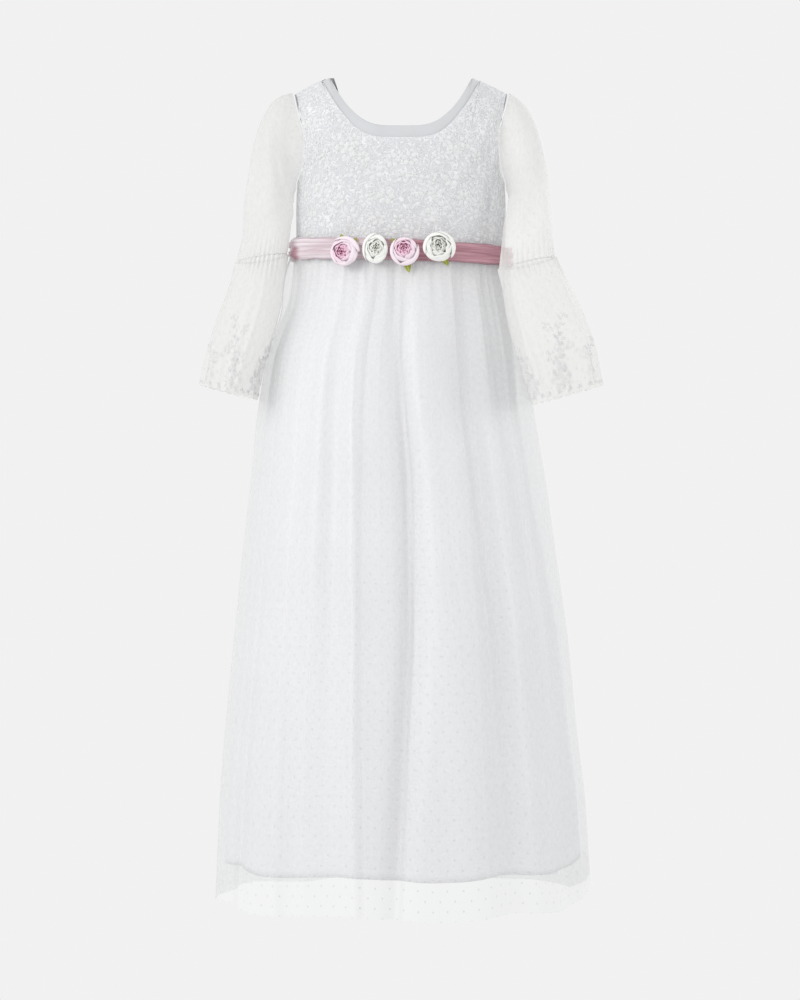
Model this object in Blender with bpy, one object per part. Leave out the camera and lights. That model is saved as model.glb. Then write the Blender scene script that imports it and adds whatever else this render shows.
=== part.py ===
"""A child's long lace dress in the hollow form that it has when worn.

Metres, +Z up. The front faces -Y and +X is the viewer's right. The origin lies midway between the
two neck points, where the shoulders carry the dress, and heights are given as drops below it.
"""

from collections import namedtuple
from math import asin, atan2, cos, degrees, exp, pi, radians, sin, sqrt

import bmesh
import bpy
from mathutils import Vector

for old in list(bpy.data.objects):
    bpy.data.objects.remove(old, do_unlink=True)

# Driving sizes
WAIST_DROP = 0.241
OVERSKIRT_DROP = 1.105
LINING_DROP = 1.057
SEAM = 0.0003
SATIN = 0.0015
LINING = 0.0012
TULLE = 0.001
LACE = 0.001
LACE_GAP = 0.0008

# Neck and shoulders, the widths as shares of the armhole edge's half width at the top
NECK_SHARE = 0.64
NECK_SHARE_BACK_LEFT = 0.60
NECK_SHARE_BACK_RIGHT = 0.66
NECK_SHARE_LACE = 0.08
NECK_SQUARENESS = 3.7
NECK_ROUNDNESS = 0.8
FRONT_NECK_DROP = 0.077
BACK_NECK_DROP = 0.088
LACE_BELOW_NECK = 0.016
SHOULDER_TIP_DROP = 0.023
SHOULDER_ROUND = 0.070

# Armhole: an upright ellipse from the shoulder tip to the underarm
ARMHOLE_DROP = 0.0865
ARMHOLE_HALF_HEIGHT = 0.0635
ARMHOLE_FRONT = 0.044
ARMHOLE_BACK = 0.040
SLEEVE_OVER_ARMHOLE = 0.0015
SLEEVE_OFF_BODICE = 0.0028

BodiceRing = namedtuple("BodiceRing", "drop half_width front_depth back_depth")
BODICE_RINGS = (
    BodiceRing(0.000, 0.1500, 0.072, 0.066),
    BodiceRing(0.023, 0.1430, 0.080, 0.074),
    BodiceRing(0.045, 0.1380, 0.085, 0.080),
    BodiceRing(0.065, 0.1315, 0.090, 0.084),
    BodiceRing(0.092, 0.1285, 0.095, 0.087),
    BodiceRing(0.125, 0.1310, 0.099, 0.089),
    BodiceRing(0.150, 0.1390, 0.100, 0.089),
    BodiceRing(0.190, 0.1400, 0.097, 0.087),
    BodiceRing(0.241, 0.1395, 0.092, 0.086),
)

# Soft upright creases in the bodice beside the side seams
BodiceFold = namedtuple("BodiceFold", "x top_drop low_drop half_width depth")
BODICE_FOLDS = (
    BodiceFold(0.113, 0.125, 0.235, 0.006, 0.0045),
    BodiceFold(-0.122, 0.160, 0.238, 0.006, 0.0025),
    BodiceFold(-0.060, 0.190, 0.240, 0.010, 0.0020),
    BodiceFold(0.070, 0.195, 0.240, 0.010, 0.0020),
)

SkirtRing = namedtuple("SkirtRing", "drop half_width front_depth back_depth middle lining_gap lining_shift")
SKIRT_RINGS = (
    SkirtRing(0.241, 0.1411, 0.0936, 0.0876, 0.0000, 0.0016, 0.000),
    SkirtRing(0.270, 0.1440, 0.0970, 0.0910, 0.0000, 0.0040, 0.000),
    SkirtRing(0.300, 0.1500, 0.1030, 0.0970, 0.0000, 0.0065, 0.000),
    SkirtRing(0.340, 0.1635, 0.1100, 0.1050, -0.0030, 0.0100, -0.001),
    SkirtRing(0.380, 0.1755, 0.1180, 0.1130, -0.0060, 0.0130, -0.003),
    SkirtRing(0.450, 0.1865, 0.1300, 0.1260, -0.0065, 0.0160, -0.005),
    SkirtRing(0.543, 0.1990, 0.1430, 0.1400, -0.0035, 0.0160, -0.005),
    SkirtRing(0.651, 0.2125, 0.1570, 0.1540, -0.0020, 0.0140, -0.003),
    SkirtRing(0.759, 0.2255, 0.1700, 0.1670, 0.0000, 0.0130, 0.000),
    SkirtRing(0.867, 0.2360, 0.1820, 0.1790, 0.0000, 0.0120, 0.000),
    SkirtRing(0.975, 0.2464, 0.1940, 0.1900, 0.0020, 0.0110, 0.000),
    SkirtRing(1.105, 0.2530, 0.2060, 0.2020, 0.0030, 0.0110, 0.000),
)

# Long folds of the skirt: their angles from the front towards +X in degrees, and how far they rise
SkirtFold = namedtuple("SkirtFold", "waist_angle middle_angle hem_angle half_width waist middle hem")
SKIRT_FOLDS = (
    SkirtFold(-1.0, 6.0, -2.0, 4.5, -0.0010, -0.0110, -0.0110),
    SkirtFold(-18.0, -17.0, -14.5, 3.5, 0.0010, 0.0050, 0.0060),
    SkirtFold(-27.0, -26.0, -25.0, 4.0, 0.0000, -0.0030, -0.0020),
    SkirtFold(-34.0, -35.0, -36.0, 4.5, 0.0000, 0.0020, -0.0070),
    SkirtFold(-50.0, -50.0, -50.0, 6.0, 0.0010, 0.0040, 0.0060),
    SkirtFold(-69.0, -68.0, -67.0, 5.0, -0.0010, -0.0050, -0.0080),
    SkirtFold(12.0, 17.5, 21.0, 8.0, 0.0010, 0.0100, 0.0140),
    SkirtFold(31.0, 35.5, 35.0, 4.5, -0.0020, -0.0110, -0.0060),
    SkirtFold(44.0, 43.0, 43.0, 6.0, 0.0010, 0.0040, 0.0070),
    SkirtFold(60.0, 61.0, 62.0, 5.0, -0.0010, -0.0060, -0.0080),
    SkirtFold(76.0, 76.0, 76.0, 5.0, 0.0000, 0.0020, 0.0040),
    SkirtFold(106.0, 107.0, 108.0, 5.0, -0.0010, -0.0050, -0.0080),
    SkirtFold(124.0, 125.0, 124.0, 6.0, 0.0010, 0.0050, 0.0070),
    SkirtFold(142.0, 140.0, 141.0, 5.0, -0.0010, -0.0080, -0.0060),
    SkirtFold(160.0, 158.0, 157.0, 6.0, 0.0010, 0.0040, 0.0070),
    SkirtFold(176.0, 178.0, 175.0, 5.0, -0.0010, -0.0070, -0.0090),
    SkirtFold(194.0, 193.0, 195.0, 6.0, 0.0010, 0.0050, 0.0060),
    SkirtFold(212.0, 214.0, 213.0, 5.0, -0.0010, -0.0080, -0.0060),
    SkirtFold(231.0, 230.0, 232.0, 6.0, 0.0010, 0.0040, 0.0070),
    SkirtFold(250.0, 249.0, 250.0, 5.0, -0.0010, -0.0060, -0.0080),
)
FOLD_STATIONS = (WAIST_DROP, 0.56, OVERSKIRT_DROP)
FOLD_START = 0.05

# Small gathers under the waist seam, which die out down the skirt. They are uneven in height and spacing:
# the angles below, in radians, set how many times round the waist each of the two varies, and from where.
GATHERS = 28
GATHER_UNEVEN = 0.35
GATHER_UNEVEN_TURNS = 5.0
GATHER_UNEVEN_START = 0.8
GATHER_SHIFT = 1.3
GATHER_SHIFT_TURNS = 3.0
GatherStation = namedtuple("GatherStation", "drop height")
GATHER_STATIONS = (
    GatherStation(0.241, 0.0025),
    GatherStation(0.275, 0.0036),
    GatherStation(0.330, 0.0026),
    GatherStation(0.400, 0.0010),
    GatherStation(0.480, 0.0000),
)

# The hem hangs level but for a lift at the wearer's left hip, and a small ripple
HEM_LIFT = 0.028
LINING_LIFT = 0.016
HEM_LIFT_ANGLE = 88.0
HEM_LIFT_HALF_WIDTH = 18.0
HEM_RIPPLE = 0.003
HEM_RIPPLES = 7.0
HEM_RIPPLE_START = 40.0

# Sleeves and cuffs: the outer and inner edge of each ring seen from the front, and its place in depth
ArmRing = namedtuple("ArmRing", "outer_x outer_drop inner_x inner_drop middle_y half_depth")
SLEEVE_RINGS = {
    "left": (
        ArmRing(0.158, 0.024, 0.1440, 0.157, -0.002, 0.049),
        ArmRing(0.174, 0.034, 0.1445, 0.163, -0.004, 0.050),
        ArmRing(0.188, 0.058, 0.1450, 0.168, -0.007, 0.050),
        ArmRing(0.198, 0.094, 0.1450, 0.174, -0.010, 0.048),
        ArmRing(0.205, 0.132, 0.1450, 0.184, -0.014, 0.046),
        ArmRing(0.210, 0.173, 0.1470, 0.202, -0.019, 0.044),
        ArmRing(0.212, 0.211, 0.1505, 0.222, -0.024, 0.042),
        ArmRing(0.219, 0.251, 0.1535, 0.241, -0.030, 0.040),
    ),
    "right": (
        ArmRing(0.153, 0.026, 0.1440, 0.157, -0.004, 0.049),
        ArmRing(0.169, 0.043, 0.1445, 0.163, -0.008, 0.050),
        ArmRing(0.183, 0.073, 0.1440, 0.168, -0.014, 0.049),
        ArmRing(0.192, 0.113, 0.1425, 0.176, -0.024, 0.047),
        ArmRing(0.198, 0.154, 0.1400, 0.189, -0.038, 0.045),
        ArmRing(0.200, 0.190, 0.1365, 0.208, -0.054, 0.043),
        ArmRing(0.200, 0.218, 0.1330, 0.232, -0.070, 0.042),
        ArmRing(0.202, 0.249, 0.1305, 0.264, -0.077, 0.041),
    ),
}
CUFF_RINGS = {
    "left": (
        ArmRing(0.230, 0.287, 0.1570, 0.290, -0.034, 0.046),
        ArmRing(0.244, 0.328, 0.1660, 0.334, -0.036, 0.051),
        ArmRing(0.256, 0.374, 0.1810, 0.382, -0.038, 0.057),
        ArmRing(0.264, 0.418, 0.1940, 0.436, -0.040, 0.062),
    ),
    "right": (
        ArmRing(0.222, 0.285, 0.1350, 0.298, -0.075, 0.046),
        ArmRing(0.241, 0.328, 0.1410, 0.334, -0.073, 0.051),
        ArmRing(0.253, 0.368, 0.1560, 0.385, -0.074, 0.056),
        ArmRing(0.262, 0.420, 0.1760, 0.444, -0.072, 0.060),
    ),
}
CUFF_SEAM = 0.0005
CUFF_WAVES = 7
CUFF_WAVE_HEIGHT = 0.0055
CUFF_WAVE_LESS_INSIDE = 0.25
CUFF_WAVE_GROWTH = 1.3
CUFF_WAVE_SHIFT_TURNS = 2

# Sash: a bunched band over the waist seam, lower on the viewer's right and at the front
SASH_DROP = 0.238
SASH_TILT_ACROSS = 0.035
SASH_TILT_DEPTH = -0.030
SASH_HALF_HEIGHT = 0.01425
SASH_HALF_HEIGHT_MORE_LEFT = 0.00125
SASH_STAND_OFF = 0.0053
SASH_HALF_THICKNESS = 0.0031

# Roses on the sash, centres seen from the front, with their radius
Rose = namedtuple("Rose", "name x drop radius colour")
ROSES = (
    Rose("rose_pink_1", -0.0718, 0.2440, 0.0205, "pink"),
    Rose("rose_white_1", -0.0320, 0.2410, 0.0170, "white"),
    Rose("rose_pink_2", 0.0046, 0.2440, 0.0183, "pink"),
    Rose("rose_white_2", 0.0480, 0.2390, 0.0215, "white"),
)
ROSE_OFF_SASH = 0.0014
ROSE_FOOT = 0.0011
ROSE_PETALS = 5.0
ROSE_FRILL = 0.04
ROSE_SWIRLS = 3.0
ROSE_TWIST = 2.0

# A rose's rings from its heart out and under to its foot: shares of its radius, foot 1 on the sewn side
RoseRing = namedtuple("RoseRing", "spread height swirl foot")
ROSE_RINGS = (
    RoseRing(0.00, 0.72, 0.000, 0),
    RoseRing(0.24, 0.70, 0.035, 0),
    RoseRing(0.44, 0.64, 0.053, 0),
    RoseRing(0.63, 0.51, 0.053, 0),
    RoseRing(0.82, 0.30, 0.035, 0),
    RoseRing(1.00, 0.00, 0.000, 0),
    RoseRing(0.30, 0.00, 0.000, 0),
    RoseRing(0.27, 0.00, 0.000, 1),
    RoseRing(0.00, 0.00, 0.000, 1),
)

# Leaves behind the roses: the rose, the way they point (degrees from +X towards up), and their reach
Leaf = namedtuple("Leaf", "rose points start tip")
LEAVES = (
    Leaf("rose_pink_1", 106.0, 0.0075, 0.0255),
    Leaf("rose_pink_1", 50.0, 0.0075, 0.0240),
    Leaf("rose_white_1", 118.0, 0.0075, 0.0215),
    Leaf("rose_pink_2", 136.0, 0.0075, 0.0240),
    Leaf("rose_pink_2", 282.0, 0.0075, 0.0280),
    Leaf("rose_white_2", 302.0, 0.0075, 0.0265),
)
LEAF_HALF_WIDTH = 0.0042
LEAF_TIP_HALF_WIDTH = 0.0005
LEAF_ROUNDNESS = 0.8
LEAF_FACES = (5, 2)
LEAF_THICKNESS = 0.0008
LEAF_OFF_SASH = 0.0003

# Centre back: a placket over the seam and covered buttons on it
PLACKET_HALF_WIDTH = 0.008
PLACKET_OFF_SATIN = 0.0024
PLACKET_THICKNESS = 0.001
PLACKET_LOW_DROP = 0.2400
PLACKET_FACES = (4, 8)
BUTTONS = 5
BUTTON_TOP_DROP = 0.098
BUTTON_SPACING = 0.028
BUTTON_RADIUS = 0.0055
BUTTON_TOP_RADIUS = 0.0030
BUTTON_HEIGHT = 0.0036

# Faces of a bodice panel: rows crowd towards the rounded shoulder, then two follow the plain neck band.
# Columns, as shares of the turn, crowd where the lace's neck edge meets the shoulder seam.
PANEL_ROWS = 9
ROW_CROWDING = 1.4
BAND_ROWS = 2
COLUMNS_INSIDE = (0.0, 0.22, 0.43, 0.62, 0.76, 0.86, 0.925, 0.97, 1.0)
COLUMNS_OUTSIDE = (0.16, 0.40, 0.70, 1.0)

# Faces along and across the other cloth pieces, and skirt rows that crowd towards the waist's gathers
SLEEVE_FACES = (20, 8)
CUFF_FACES = (28, 5)
SASH_CUTS = 41
SKIRT_ROW_CROWDING = 1.6

# Small steps that give a surface's direction: along, round the bodice, round the skirt in degrees, and
# on the sleeves
STEP = 0.0005
TURN_STEP = radians(0.4)
ANGLE_STEP = 0.2
ARM_STEP = 0.02
MERGE = 1e-6
ROUNDING = 1e-12


def glide(stations, values, at):
    """A value between the rows of a table, smooth from row to row and without overshoot."""
    last = len(stations) - 1
    at = min(max(at, stations[0]), stations[last])
    row = max(i for i in range(last) if stations[i] <= at)
    slopes = [(values[i + 1] - values[i]) / (stations[i + 1] - stations[i]) for i in range(last)]

    def tangent(i):
        if i in (0, last):
            return slopes[min(i, last - 1)]
        if slopes[i - 1] * slopes[i] <= 0.0:
            return 0.0
        return 2.0 * slopes[i - 1] * slopes[i] / (slopes[i - 1] + slopes[i])

    span = stations[row + 1] - stations[row]
    t = (at - stations[row]) / span
    start = values[row] * (1.0 + 2.0 * t) + tangent(row) * span * t
    end = values[row + 1] * (3.0 - 2.0 * t) + tangent(row + 1) * span * (t - 1.0)
    return start * (1.0 - t) ** 2 + end * t * t


def read(table, column, drop):
    """One column of a table of rings, at any drop."""
    return glide([row.drop for row in table], [getattr(row, column) for row in table], drop)


def bump(distance, half_width):
    return exp(-((distance / half_width) ** 2))


def cloth_slab(columns, rows, closed=False):
    """A flat piece of cloth one unit wide, long and thick; closed joins its two long edges later."""
    bm = bmesh.new()
    bmesh.ops.create_grid(bm, x_segments=columns, y_segments=rows, size=0.5)
    skin = bmesh.ops.extrude_face_region(bm, geom=bm.faces[:])
    inner = [item for item in skin["geom"] if isinstance(item, bmesh.types.BMVert)]
    bmesh.ops.translate(bm, verts=inner, vec=(0.0, 0.0, 1.0))
    bmesh.ops.translate(bm, verts=bm.verts[:], vec=(0.5, 0.5, 0.0))
    if closed:
        ends = [face for face in bm.faces if abs(face.normal.x) > 0.5]
        bmesh.ops.delete(bm, geom=ends, context="FACES")
    return bm


def form(bm, place):
    """Moves each point of a flat piece to its place on the garment, then closes it up."""
    for vert in bm.verts:
        vert.co = place(*vert.co)
    bmesh.ops.remove_doubles(bm, verts=bm.verts[:], dist=MERGE)
    bmesh.ops.recalc_face_normals(bm, faces=bm.faces[:])


def finish(name, bm, colour, roughness, alpha=1.0):
    """Makes the object of a node, with a material of its own."""
    mesh = bpy.data.meshes.new(name)
    bm.to_mesh(mesh)
    bm.free()
    mesh.shade_smooth()
    mesh.set_sharp_from_angle(angle=radians(50.0))
    material = bpy.data.materials.new(name)
    material.use_nodes = True
    shader = material.node_tree.nodes["Principled BSDF"]
    shader.inputs["Base Color"].default_value = (*colour, 1.0)
    shader.inputs["Roughness"].default_value = roughness
    shader.inputs["Metallic"].default_value = 0.0
    shader.inputs["Alpha"].default_value = alpha
    mesh.materials.append(material)
    bpy.context.collection.objects.link(bpy.data.objects.new(name, mesh))


SATIN_WHITE = (0.82, 0.83, 0.86)
LACE_WHITE = (0.80, 0.81, 0.83)
TULLE_WHITE = (0.86, 0.86, 0.85)
SASH_PINK = (0.62, 0.36, 0.43)
ROSE_COLOURS = {"pink": (0.80, 0.46, 0.56), "white": (0.82, 0.81, 0.77)}
LEAF_GREEN = (0.36, 0.42, 0.05)


# Bodice

def shoulder_drop(across):
    """How far the shoulder line lies below the neck point, at a share of the half width."""
    return SHOULDER_TIP_DROP * max(0.0, (abs(across) - NECK_SHARE) / (1.0 - NECK_SHARE))


def neck_drop(across, neck_share, lowest):
    """The neckline's drop: a deep round scoop between the neck points."""
    inside = min(1.0, abs(across) / neck_share)
    return lowest * (1.0 - inside**NECK_SQUARENESS) ** NECK_ROUNDNESS


def armhole_depth(drop, back):
    """How far forward, or back, the armhole's edge lies at a drop."""
    share = (drop - ARMHOLE_DROP) / ARMHOLE_HALF_HEIGHT
    return (ARMHOLE_BACK if back else ARMHOLE_FRONT) * sqrt(max(0.0, 1.0 - share * share))


def bodice_point(turn, drop, back):
    """A point on the outer side of the satin, with turn from -90 to 90 degrees across a panel."""
    across = sin(turn)
    x = across * read(BODICE_RINGS, "half_width", drop)
    depth = read(BODICE_RINGS, "back_depth" if back else "front_depth", drop)
    rounded = min(1.0, max(0.0, (drop - shoulder_drop(across)) / SHOULDER_ROUND))
    armhole = armhole_depth(drop, back)
    reach = armhole + (depth * sqrt(1.0 - (1.0 - rounded) ** 2) - armhole) * cos(turn)
    if not back:
        for fold in BODICE_FOLDS:
            middle = 0.5 * (fold.top_drop + fold.low_drop)
            length = 0.5 * (fold.low_drop - fold.top_drop)
            reach -= fold.depth * bump(x - fold.x, fold.half_width) * bump(drop - middle, length)
    return Vector((x, reach if back else -reach, -drop))


def bodice_out(turn, drop, back, distance):
    """The same point moved out along the surface's normal."""
    here = bodice_point(turn, drop, back)
    down = bodice_point(turn, drop + STEP, back) - here
    across = bodice_point(turn + TURN_STEP, drop, back) - bodice_point(turn - TURN_STEP, drop, back)
    normal = down.cross(across).normalized()
    if back:
        normal.negate()
    return here + normal * distance


def column_drops(turn, back, top, low, samples=48):
    """Drops down one column of a panel, and the length of cloth from the first to each."""
    drops = [top + (low - top) * (i / samples) ** 2 for i in range(samples + 1)]
    lengths = [0.0]
    for above, below in zip(drops, drops[1:]):
        step = bodice_point(turn, below, back) - bodice_point(turn, above, back)
        lengths.append(lengths[-1] + step.length)
    return drops, lengths


def drop_at(turn, back, top, low, share):
    """The drop at a share of a column's length of cloth, from its foot up."""
    if low - top < STEP / 10:
        return top
    drops, lengths = column_drops(turn, back, top, low)
    wanted = (1.0 - share) * lengths[-1]
    row = max(i for i in range(len(lengths) - 1) if lengths[i] <= wanted + ROUNDING)
    t = (wanted - lengths[row]) / (lengths[row + 1] - lengths[row])
    return drops[row] + (drops[row + 1] - drops[row]) * t


def column_turns(edge):
    """Turns from the middle to the side seam, with one column on the lace's end at the shoulder."""
    return [edge * share for share in COLUMNS_INSIDE] + [
        edge + (radians(90.0) - edge) * share for share in COLUMNS_OUTSIDE
    ]


def bodice_panel(name, span, back, neck_share, lowest, rows, outer, inner, colour, roughness):
    """One cut panel of the bodice; satin has the rows of the neck band, and lace stops below them."""
    lace_share = neck_share + NECK_SHARE_LACE
    half = column_turns(asin(lace_share))
    turns = {"left": [-turn for turn in reversed(half)], "right": half}
    turns["both"] = turns["left"] + half[1:]
    columns = len(turns[span]) - 1

    def place(u, v, w):
        turn = turns[span][round(u * columns)]
        row = round(v * rows)
        across = sin(turn)
        top = max(shoulder_drop(across), neck_drop(across, neck_share, lowest))
        band = max(shoulder_drop(across), neck_drop(across, lace_share, lowest + LACE_BELOW_NECK))
        if row <= PANEL_ROWS:
            share = 1.0 - (1.0 - row / PANEL_ROWS) ** ROW_CROWDING
            drop = drop_at(turn, back, band, WAIST_DROP, share)
        else:
            drop = drop_at(turn, back, top, band, (row - PANEL_ROWS) / BAND_ROWS)
        point = bodice_out(turn, drop, back, outer + (inner - outer) * w)
        point.y = max(point.y, SEAM / 2) if back else min(point.y, -SEAM / 2)
        if span == "left":
            point.x = min(point.x, -SEAM / 2)
        if span == "right":
            point.x = max(point.x, SEAM / 2)
        point.z = max(point.z, -WAIST_DROP)
        return point

    bm = cloth_slab(columns, rows)
    form(bm, place)
    finish(name, bm, colour, roughness)


PANELS = (
    ("front", "both", False, NECK_SHARE, FRONT_NECK_DROP),
    ("back_left", "left", True, NECK_SHARE_BACK_LEFT, BACK_NECK_DROP),
    ("back_right", "right", True, NECK_SHARE_BACK_RIGHT, BACK_NECK_DROP),
)
for panel, *cut in PANELS:
    bodice_panel(f"bodice_{panel}", *cut, PANEL_ROWS + BAND_ROWS, 0.0, -SATIN, SATIN_WHITE, 0.35)
    bodice_panel(f"lace_{panel}", *cut, PANEL_ROWS, LACE_GAP + LACE, LACE_GAP, LACE_WHITE, 0.8)


# Centre back

def placket_place(u, v, w):
    x = PLACKET_HALF_WIDTH * (2.0 * u - 1.0)
    top = BACK_NECK_DROP + SEAM
    drop = top + (PLACKET_LOW_DROP - top) * v
    turn = x / read(BODICE_RINGS, "half_width", drop)
    return bodice_out(turn, drop, True, PLACKET_OFF_SATIN + PLACKET_THICKNESS * (1.0 - w))


placket = cloth_slab(*PLACKET_FACES)
form(placket, placket_place)
finish("back_placket", placket, SATIN_WHITE, 0.4)

for number in range(BUTTONS):
    drop = BUTTON_TOP_DROP + BUTTON_SPACING * number
    base_off = PLACKET_OFF_SATIN + PLACKET_THICKNESS + SEAM
    foot = bodice_out(0.0, drop, True, base_off)
    outward = (bodice_out(0.0, drop, True, 2.0 * base_off) - foot).normalized()
    turn_out = Vector((0.0, 0.0, 1.0)).rotation_difference(outward).to_matrix().to_4x4()
    button = bmesh.new()
    bmesh.ops.create_cone(
        button,
        cap_ends=True,
        segments=14,
        radius1=BUTTON_RADIUS,
        radius2=BUTTON_TOP_RADIUS,
        depth=BUTTON_HEIGHT,
    )
    bmesh.ops.translate(button, verts=button.verts[:], vec=(0.0, 0.0, BUTTON_HEIGHT / 2))
    bmesh.ops.transform(button, matrix=turn_out, verts=button.verts[:])
    bmesh.ops.translate(button, verts=button.verts[:], vec=foot)
    finish(f"button_{number + 1}", button, SATIN_WHITE, 0.35)


# Skirt

def long_folds(angle, drop):
    """How far the long folds push the cloth out at an angle in degrees."""
    total = 0.0
    for fold in SKIRT_FOLDS:
        centre = glide(FOLD_STATIONS, (fold.waist_angle, fold.middle_angle, fold.hem_angle), drop)
        rise = glide(FOLD_STATIONS, (fold.waist, fold.middle, fold.hem), drop)
        away = (angle - centre + 180.0) % 360.0 - 180.0
        total += rise * bump(away, fold.half_width)
    return total * min(1.0, (drop - WAIST_DROP) / FOLD_START)


def small_gathers(angle, drop):
    """The gathers push the tulle out only, by uneven amounts."""
    turn = radians(angle)
    uneven = 1.0 - GATHER_UNEVEN * (1.0 - sin(GATHER_UNEVEN_TURNS * turn + GATHER_UNEVEN_START))
    wave = cos(GATHERS * turn + GATHER_SHIFT * sin(GATHER_SHIFT_TURNS * turn))
    return read(GATHER_STATIONS, "height", drop) * uneven * (0.5 + 0.5 * wave)


def overskirt_point(angle, drop):
    turn = radians(angle)
    depth = read(SKIRT_RINGS, "front_depth" if cos(turn) > 0.0 else "back_depth", drop)
    out = long_folds(angle, drop) + small_gathers(angle, drop)
    x = read(SKIRT_RINGS, "middle", drop) + (read(SKIRT_RINGS, "half_width", drop) + out) * sin(turn)
    return Vector((x, -(depth + out) * cos(turn), -drop))


def lining_point(angle, drop):
    turn = radians(angle)
    depth = read(SKIRT_RINGS, "front_depth" if cos(turn) > 0.0 else "back_depth", drop)
    out = long_folds(angle, drop) - read(SKIRT_RINGS, "lining_gap", drop)
    middle = read(SKIRT_RINGS, "middle", drop) + read(SKIRT_RINGS, "lining_shift", drop)
    x = middle + (read(SKIRT_RINGS, "half_width", drop) + out) * sin(turn)
    return Vector((x, -(depth + out) * cos(turn), -drop))


def moved_out(surface, angle, drop, distance):
    """A point of a skirt layer moved out along its normal."""
    here = surface(angle, drop)
    down = surface(angle, drop + STEP) - here
    across = surface(angle + ANGLE_STEP, drop) - surface(angle - ANGLE_STEP, drop)
    return here + down.cross(across).normalized() * distance


SkirtLayer = namedtuple("SkirtLayer", "name surface hem_drop lift columns rows wall colour roughness alpha")
SKIRT_LAYERS = (
    SkirtLayer("overskirt", overskirt_point, OVERSKIRT_DROP, HEM_LIFT, 56, 8, TULLE, TULLE_WHITE, 0.7, 0.6),
    SkirtLayer("lining", lining_point, LINING_DROP, LINING_LIFT, 28, 7, LINING, SATIN_WHITE, 0.4, 1.0),
)


def skirt_panel(layer, side, first_angle):
    """Half of a skirt layer, from side seam to side seam."""

    def place(u, v, w):
        angle = first_angle + 180.0 * u
        hem = layer.hem_drop - layer.lift * bump(angle - HEM_LIFT_ANGLE, HEM_LIFT_HALF_WIDTH)
        hem += HEM_RIPPLE * sin(radians(HEM_RIPPLES * angle + HEM_RIPPLE_START))
        top = WAIST_DROP + SEAM
        drop = top + (hem - top) * v**SKIRT_ROW_CROWDING
        point = moved_out(layer.surface, angle, drop, -layer.wall * w)
        point.y = min(point.y, -SEAM / 2) if side == "front" else max(point.y, SEAM / 2)
        point.z = min(point.z, -top)
        return point

    bm = cloth_slab(layer.columns, layer.rows)
    form(bm, place)
    finish(f"{layer.name}_{side}", bm, layer.colour, layer.roughness, layer.alpha)


for layer in SKIRT_LAYERS:
    skirt_panel(layer, "front", -90.0)
    skirt_panel(layer, "back", 90.0)


# Sleeves and cuffs

def armhole_ring(turn, side):
    """Where the sleeve meets the bodice, just outside the armhole's edge."""
    drop = ARMHOLE_DROP - (ARMHOLE_HALF_HEIGHT + SLEEVE_OVER_ARMHOLE) * cos(turn)
    depth = ARMHOLE_FRONT if sin(turn) > 0.0 else ARMHOLE_BACK
    x = read(BODICE_RINGS, "half_width", drop) + SLEEVE_OFF_BODICE
    return Vector((side * x, -(depth + SLEEVE_OVER_ARMHOLE) * sin(turn), -drop))


def arm_ring(ring, turn, side):
    """A ring round the arm: turn 0 is its outer edge, 90 degrees its front."""
    outer = Vector((side * ring.outer_x, ring.middle_y, -ring.outer_drop))
    inner = Vector((side * ring.inner_x, ring.middle_y, -ring.inner_drop))
    middle = (outer + inner) / 2
    return middle + (outer - middle) * cos(turn) + Vector((0.0, -ring.half_depth * sin(turn), 0.0))


def through(points, share):
    """A point along a smooth curve through a few points."""
    stations = list(range(len(points)))
    at = share * (len(points) - 1)
    return Vector([glide(stations, [point[axis] for point in points], at) for axis in range(3)])


def sleeve_point(which, turn, share):
    side = -1.0 if which == "left" else 1.0
    points = [armhole_ring(turn, side)]
    points += [arm_ring(ring, turn, side) for ring in SLEEVE_RINGS[which]]
    return through(points, share)


def plain_cuff(which, turn, share):
    """The cuff without its waves."""
    side = -1.0 if which == "left" else 1.0
    start = arm_ring(SLEEVE_RINGS[which][-1], turn, side) - Vector((0.0, 0.0, CUFF_SEAM))
    return through([start] + [arm_ring(ring, turn, side) for ring in CUFF_RINGS[which]], share)


def cuff_point(which, turn, share):
    point = plain_cuff(which, turn, share)
    middle = (plain_cuff(which, 0.0, share) + plain_cuff(which, pi, share)) / 2
    height = CUFF_WAVE_HEIGHT * share**CUFF_WAVE_GROWTH * (1.0 - CUFF_WAVE_LESS_INSIDE * (1.0 - cos(turn)))
    wave = cos(CUFF_WAVES * turn + sin(CUFF_WAVE_SHIFT_TURNS * turn))
    return point + (point - middle).normalized() * height * wave


def arm_piece(name, surface, which, faces):
    """A sleeve or a cuff, a closed tube of tulle open at both ends."""

    def place(u, v, w):
        turn = 2.0 * pi * (u % 1.0)
        here = surface(which, turn, v)
        along = surface(which, turn, min(1.0, v + ARM_STEP)) - surface(which, turn, max(0.0, v - ARM_STEP))
        around = surface(which, turn + ARM_STEP, v) - surface(which, turn - ARM_STEP, v)
        normal = along.cross(around).normalized()
        middle = (surface(which, 0.0, v) + surface(which, pi, v)) / 2
        if normal.dot(here - middle) < 0.0:
            normal.negate()
        return here - normal * TULLE * w

    bm = cloth_slab(*faces, closed=True)
    form(bm, place)
    finish(name, bm, TULLE_WHITE, 0.7, 0.6)


for which in ("left", "right"):
    arm_piece(f"sleeve_{which}", sleeve_point, which, SLEEVE_FACES)
    arm_piece(f"cuff_{which}", cuff_point, which, CUFF_FACES)


# Sash, roses and leaves

def sash_drop(x, y):
    return SASH_DROP + SASH_TILT_ACROSS * x + SASH_TILT_DEPTH * y


def sash_ring(angle, out):
    """A point round the waist, a distance outside the satin."""
    turn = radians(angle)
    depth = BODICE_RINGS[-1].front_depth if cos(turn) > 0.0 else BODICE_RINGS[-1].back_depth
    width = BODICE_RINGS[-1].half_width
    return Vector(((width + out) * sin(turn), -(depth + out) * cos(turn), 0.0))


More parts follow.
